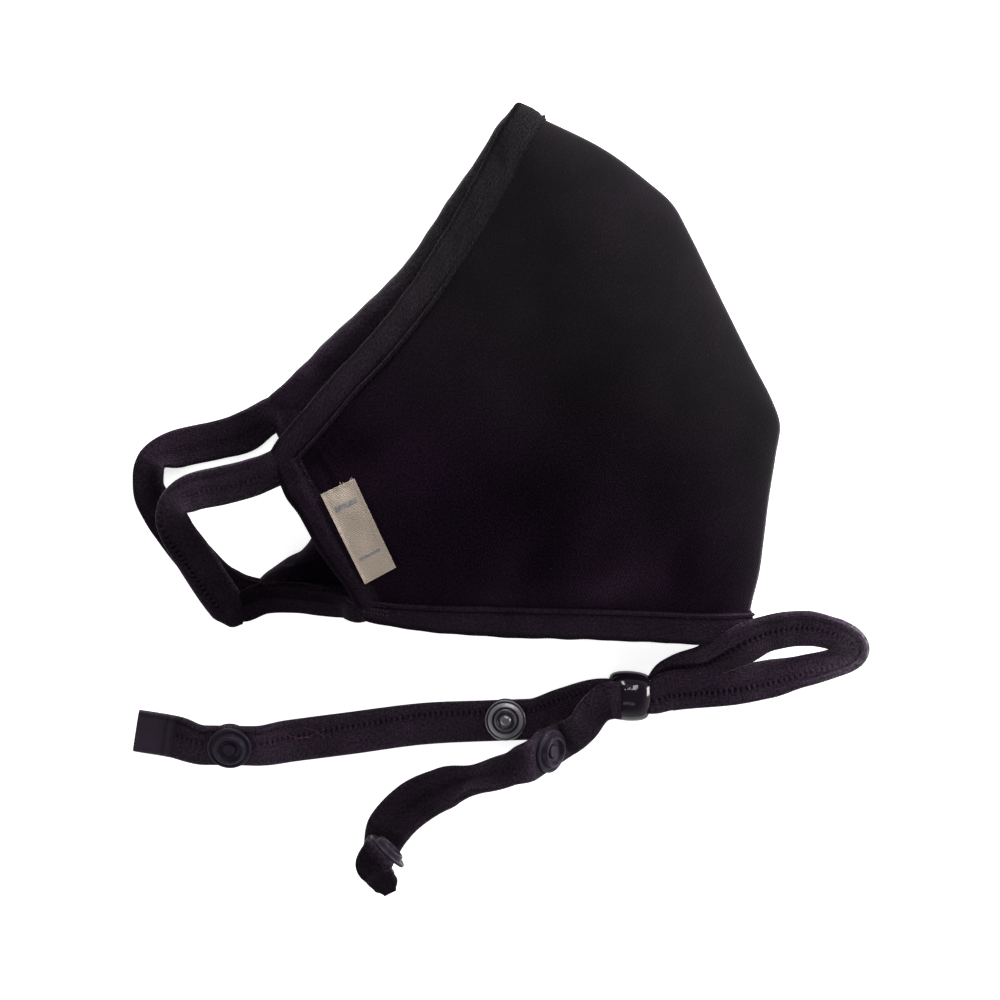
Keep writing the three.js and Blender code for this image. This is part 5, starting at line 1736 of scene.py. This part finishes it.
# Soft lights: place and target in metres, width, power, and how many times as tall as wide.
LIGHTS = {
    "key_light": ((0.62, 1.2, 0.3), (0, 0, 0), 0.5, 48, 1),
    "side_light": ((1.2, 0.1, 0.3), (0, 0, 0), 0.45, 17, 1),
    "fill_light": ((-0.8, -0.7, 0.8), (0, 0, 0), 0.8, 5, 1),
    "window_light": ((0.0, 0.6, 0.72), TOGGLE_SPOT, 0.08, 1.4, 3),
    "high_light": ((0.15, 0.34, 0.82), TOGGLE_SPOT, 0.08, 1.3, 4),
    "low_light": ((0.04, -0.41, 0.83), TOGGLE_SPOT, 0.08, 0.06, 2),
}
FLOOR = {"reach": 3000.0, "z": -0.25}


def area_light(name, place, target, size, power, tall):
    """A soft light at a place, facing a target."""
    data = bpy.data.lights.new(name, "AREA")
    data.shape = "RECTANGLE"
    data.size = size
    data.size_y = size * tall
    data.energy = power
    lamp = bpy.data.objects.new(name, data)
    bpy.context.scene.collection.objects.link(lamp)
    lamp.location = place
    lamp.rotation_euler = (Vector(target) - Vector(place)).to_track_quat("-Z", "Y").to_euler()


def build_floor():
    """A wide pale floor just under the mask."""
    reach, z = FLOOR["reach"] * MM, FLOOR["z"] * MM
    mesh = bpy.data.meshes.new("studio_floor")
    corners = [(x * reach, y * reach, z) for x, y in ((-1, -1), (1, -1), (1, 1), (-1, 1))]
    mesh.from_pydata(corners, [], [(0, 1, 2, 3)])
    floor = bpy.data.objects.new("studio_floor", mesh)
    bpy.context.scene.collection.objects.link(floor)
    glow = {"Emission_Color": (1, 1, 1, 1), "Emission_Strength": 0.75}
    pale, tree, shader = start_material("studio_floor", (0.9, 0.9, 0.9), 0.9, **glow)
    tone = map_range(tree, noise(tree, place_of(tree, "Object"), 3.0), 0.3, 0.7, 0.93, 0.95)
    tree.links.new(grey(tree, tone), shader.inputs["Base Color"])
    mesh.materials.append(pale)


def build_stage():
    """A pale floor, a camera straight overhead, and soft light from the nose and ridge side."""
    choice = settings()
    scene = bpy.context.scene
    build_floor()
    world = bpy.data.worlds.new("studio_world")
    world.use_nodes = True
    tree = world.node_tree
    rise = add_node(tree, "ShaderNodeSeparateXYZ", {0: place_of(tree, "Generated")}).outputs[2]
    background = tree.nodes["Background"]
    background.inputs["Color"].default_value = (1, 1, 1, 1)
    tree.links.new(map_range(tree, rise, 0.15, 0.9, 0.95, 0.12), background.inputs["Strength"])
    scene.world = world
    for name, values in LIGHTS.items():
        area_light(name, *values)
    scene.view_settings.view_transform = "Standard"
    camera = bpy.data.cameras.new("camera")
    camera.sensor_width = 36
    camera.lens = camera.sensor_width * choice.camera_height / choice.field
    holder = bpy.data.objects.new("camera", camera)
    holder.location = (0, 0, choice.camera_height)
    scene.collection.objects.link(holder)
    scene.camera = holder


# ---------- operators and panel ----------
class MASK_OT_stage(bpy.types.Operator):
    """Adds the floor, lights and camera"""

    bl_idname = "mask.stage"
    bl_label = "Stage"

    def execute(self, context):
        build_stage()
        return {"FINISHED"}


class MASK_OT_cloth(bpy.types.Operator):
    """Makes both cloth halves"""

    bl_idname = "mask.cloth"
    bl_label = "Cloth halves"

    def execute(self, context):
        build_cloth("near")
        build_cloth("far")
        return {"FINISHED"}


class MASK_OT_bindings(bpy.types.Operator):
    """Makes the folded bindings and their stitches"""

    bl_idname = "mask.bindings"
    bl_label = "Bindings"

    def execute(self, context):
        build_bindings()
        return {"FINISHED"}


class MASK_OT_loops(bpy.types.Operator):
    """Makes both ear loops"""

    bl_idname = "mask.loops"
    bl_label = "Ear loops"

    def execute(self, context):
        build_ear_loops()
        return {"FINISHED"}


class MASK_OT_strap(bpy.types.Operator):
    """Makes the head strap, its end tab and the hairs on it"""

    bl_idname = "mask.strap"
    bl_label = "Head strap"

    def execute(self, context):
        build_strap()
        return {"FINISHED"}


class MASK_OT_studs(bpy.types.Operator):
    """Makes the press studs"""

    bl_idname = "mask.studs"
    bl_label = "Press studs"

    def execute(self, context):
        build_studs()
        return {"FINISHED"}


class MASK_OT_toggle(bpy.types.Operator):
    """Makes the toggle"""

    bl_idname = "mask.toggle"
    bl_label = "Toggle"

    def execute(self, context):
        build_toggle()
        return {"FINISHED"}


class MASK_OT_label(bpy.types.Operator):
    """Makes the woven label"""

    bl_idname = "mask.label"
    bl_label = "Label"

    def execute(self, context):
        build_label()
        return {"FINISHED"}


OPERATORS = (
    MASK_OT_stage,
    MASK_OT_cloth,
    MASK_OT_bindings,
    MASK_OT_loops,
    MASK_OT_strap,
    MASK_OT_studs,
    MASK_OT_toggle,
    MASK_OT_label,
)


class MASK_PT_sidebar(bpy.types.Panel):
    """Sizes, colours and steps of the mask"""

    bl_label = "Mask"
    bl_idname = "MASK_PT_sidebar"
    bl_space_type = "VIEW_3D"
    bl_region_type = "UI"
    bl_category = "Mask"

    def draw(self, context):
        """Lists the settings and the operators."""
        for name in MaskSettings.__annotations__:
            self.layout.prop(context.scene.mask_settings, name)
        for made in OPERATORS:
            self.layout.operator(made.bl_idname)


def register():
    """Registers the settings, operators and panel."""
    for made in (MaskSettings, *OPERATORS, MASK_PT_sidebar):
        bpy.utils.register_class(made)
    bpy.types.Scene.mask_settings = PointerProperty(type=MaskSettings)


def unregister():
    """Takes the panel, operators and settings away again."""
    del bpy.types.Scene.mask_settings
    for made in (MASK_PT_sidebar, *reversed(OPERATORS), MaskSettings):
        bpy.utils.unregister_class(made)


def main():
    """Makes every piece in order."""
    register()
    for made in OPERATORS:
        getattr(bpy.ops.mask, made.bl_idname.removeprefix("mask."))()
    bpy.context.view_layer.update()


if __name__ == "__main__":
    main()
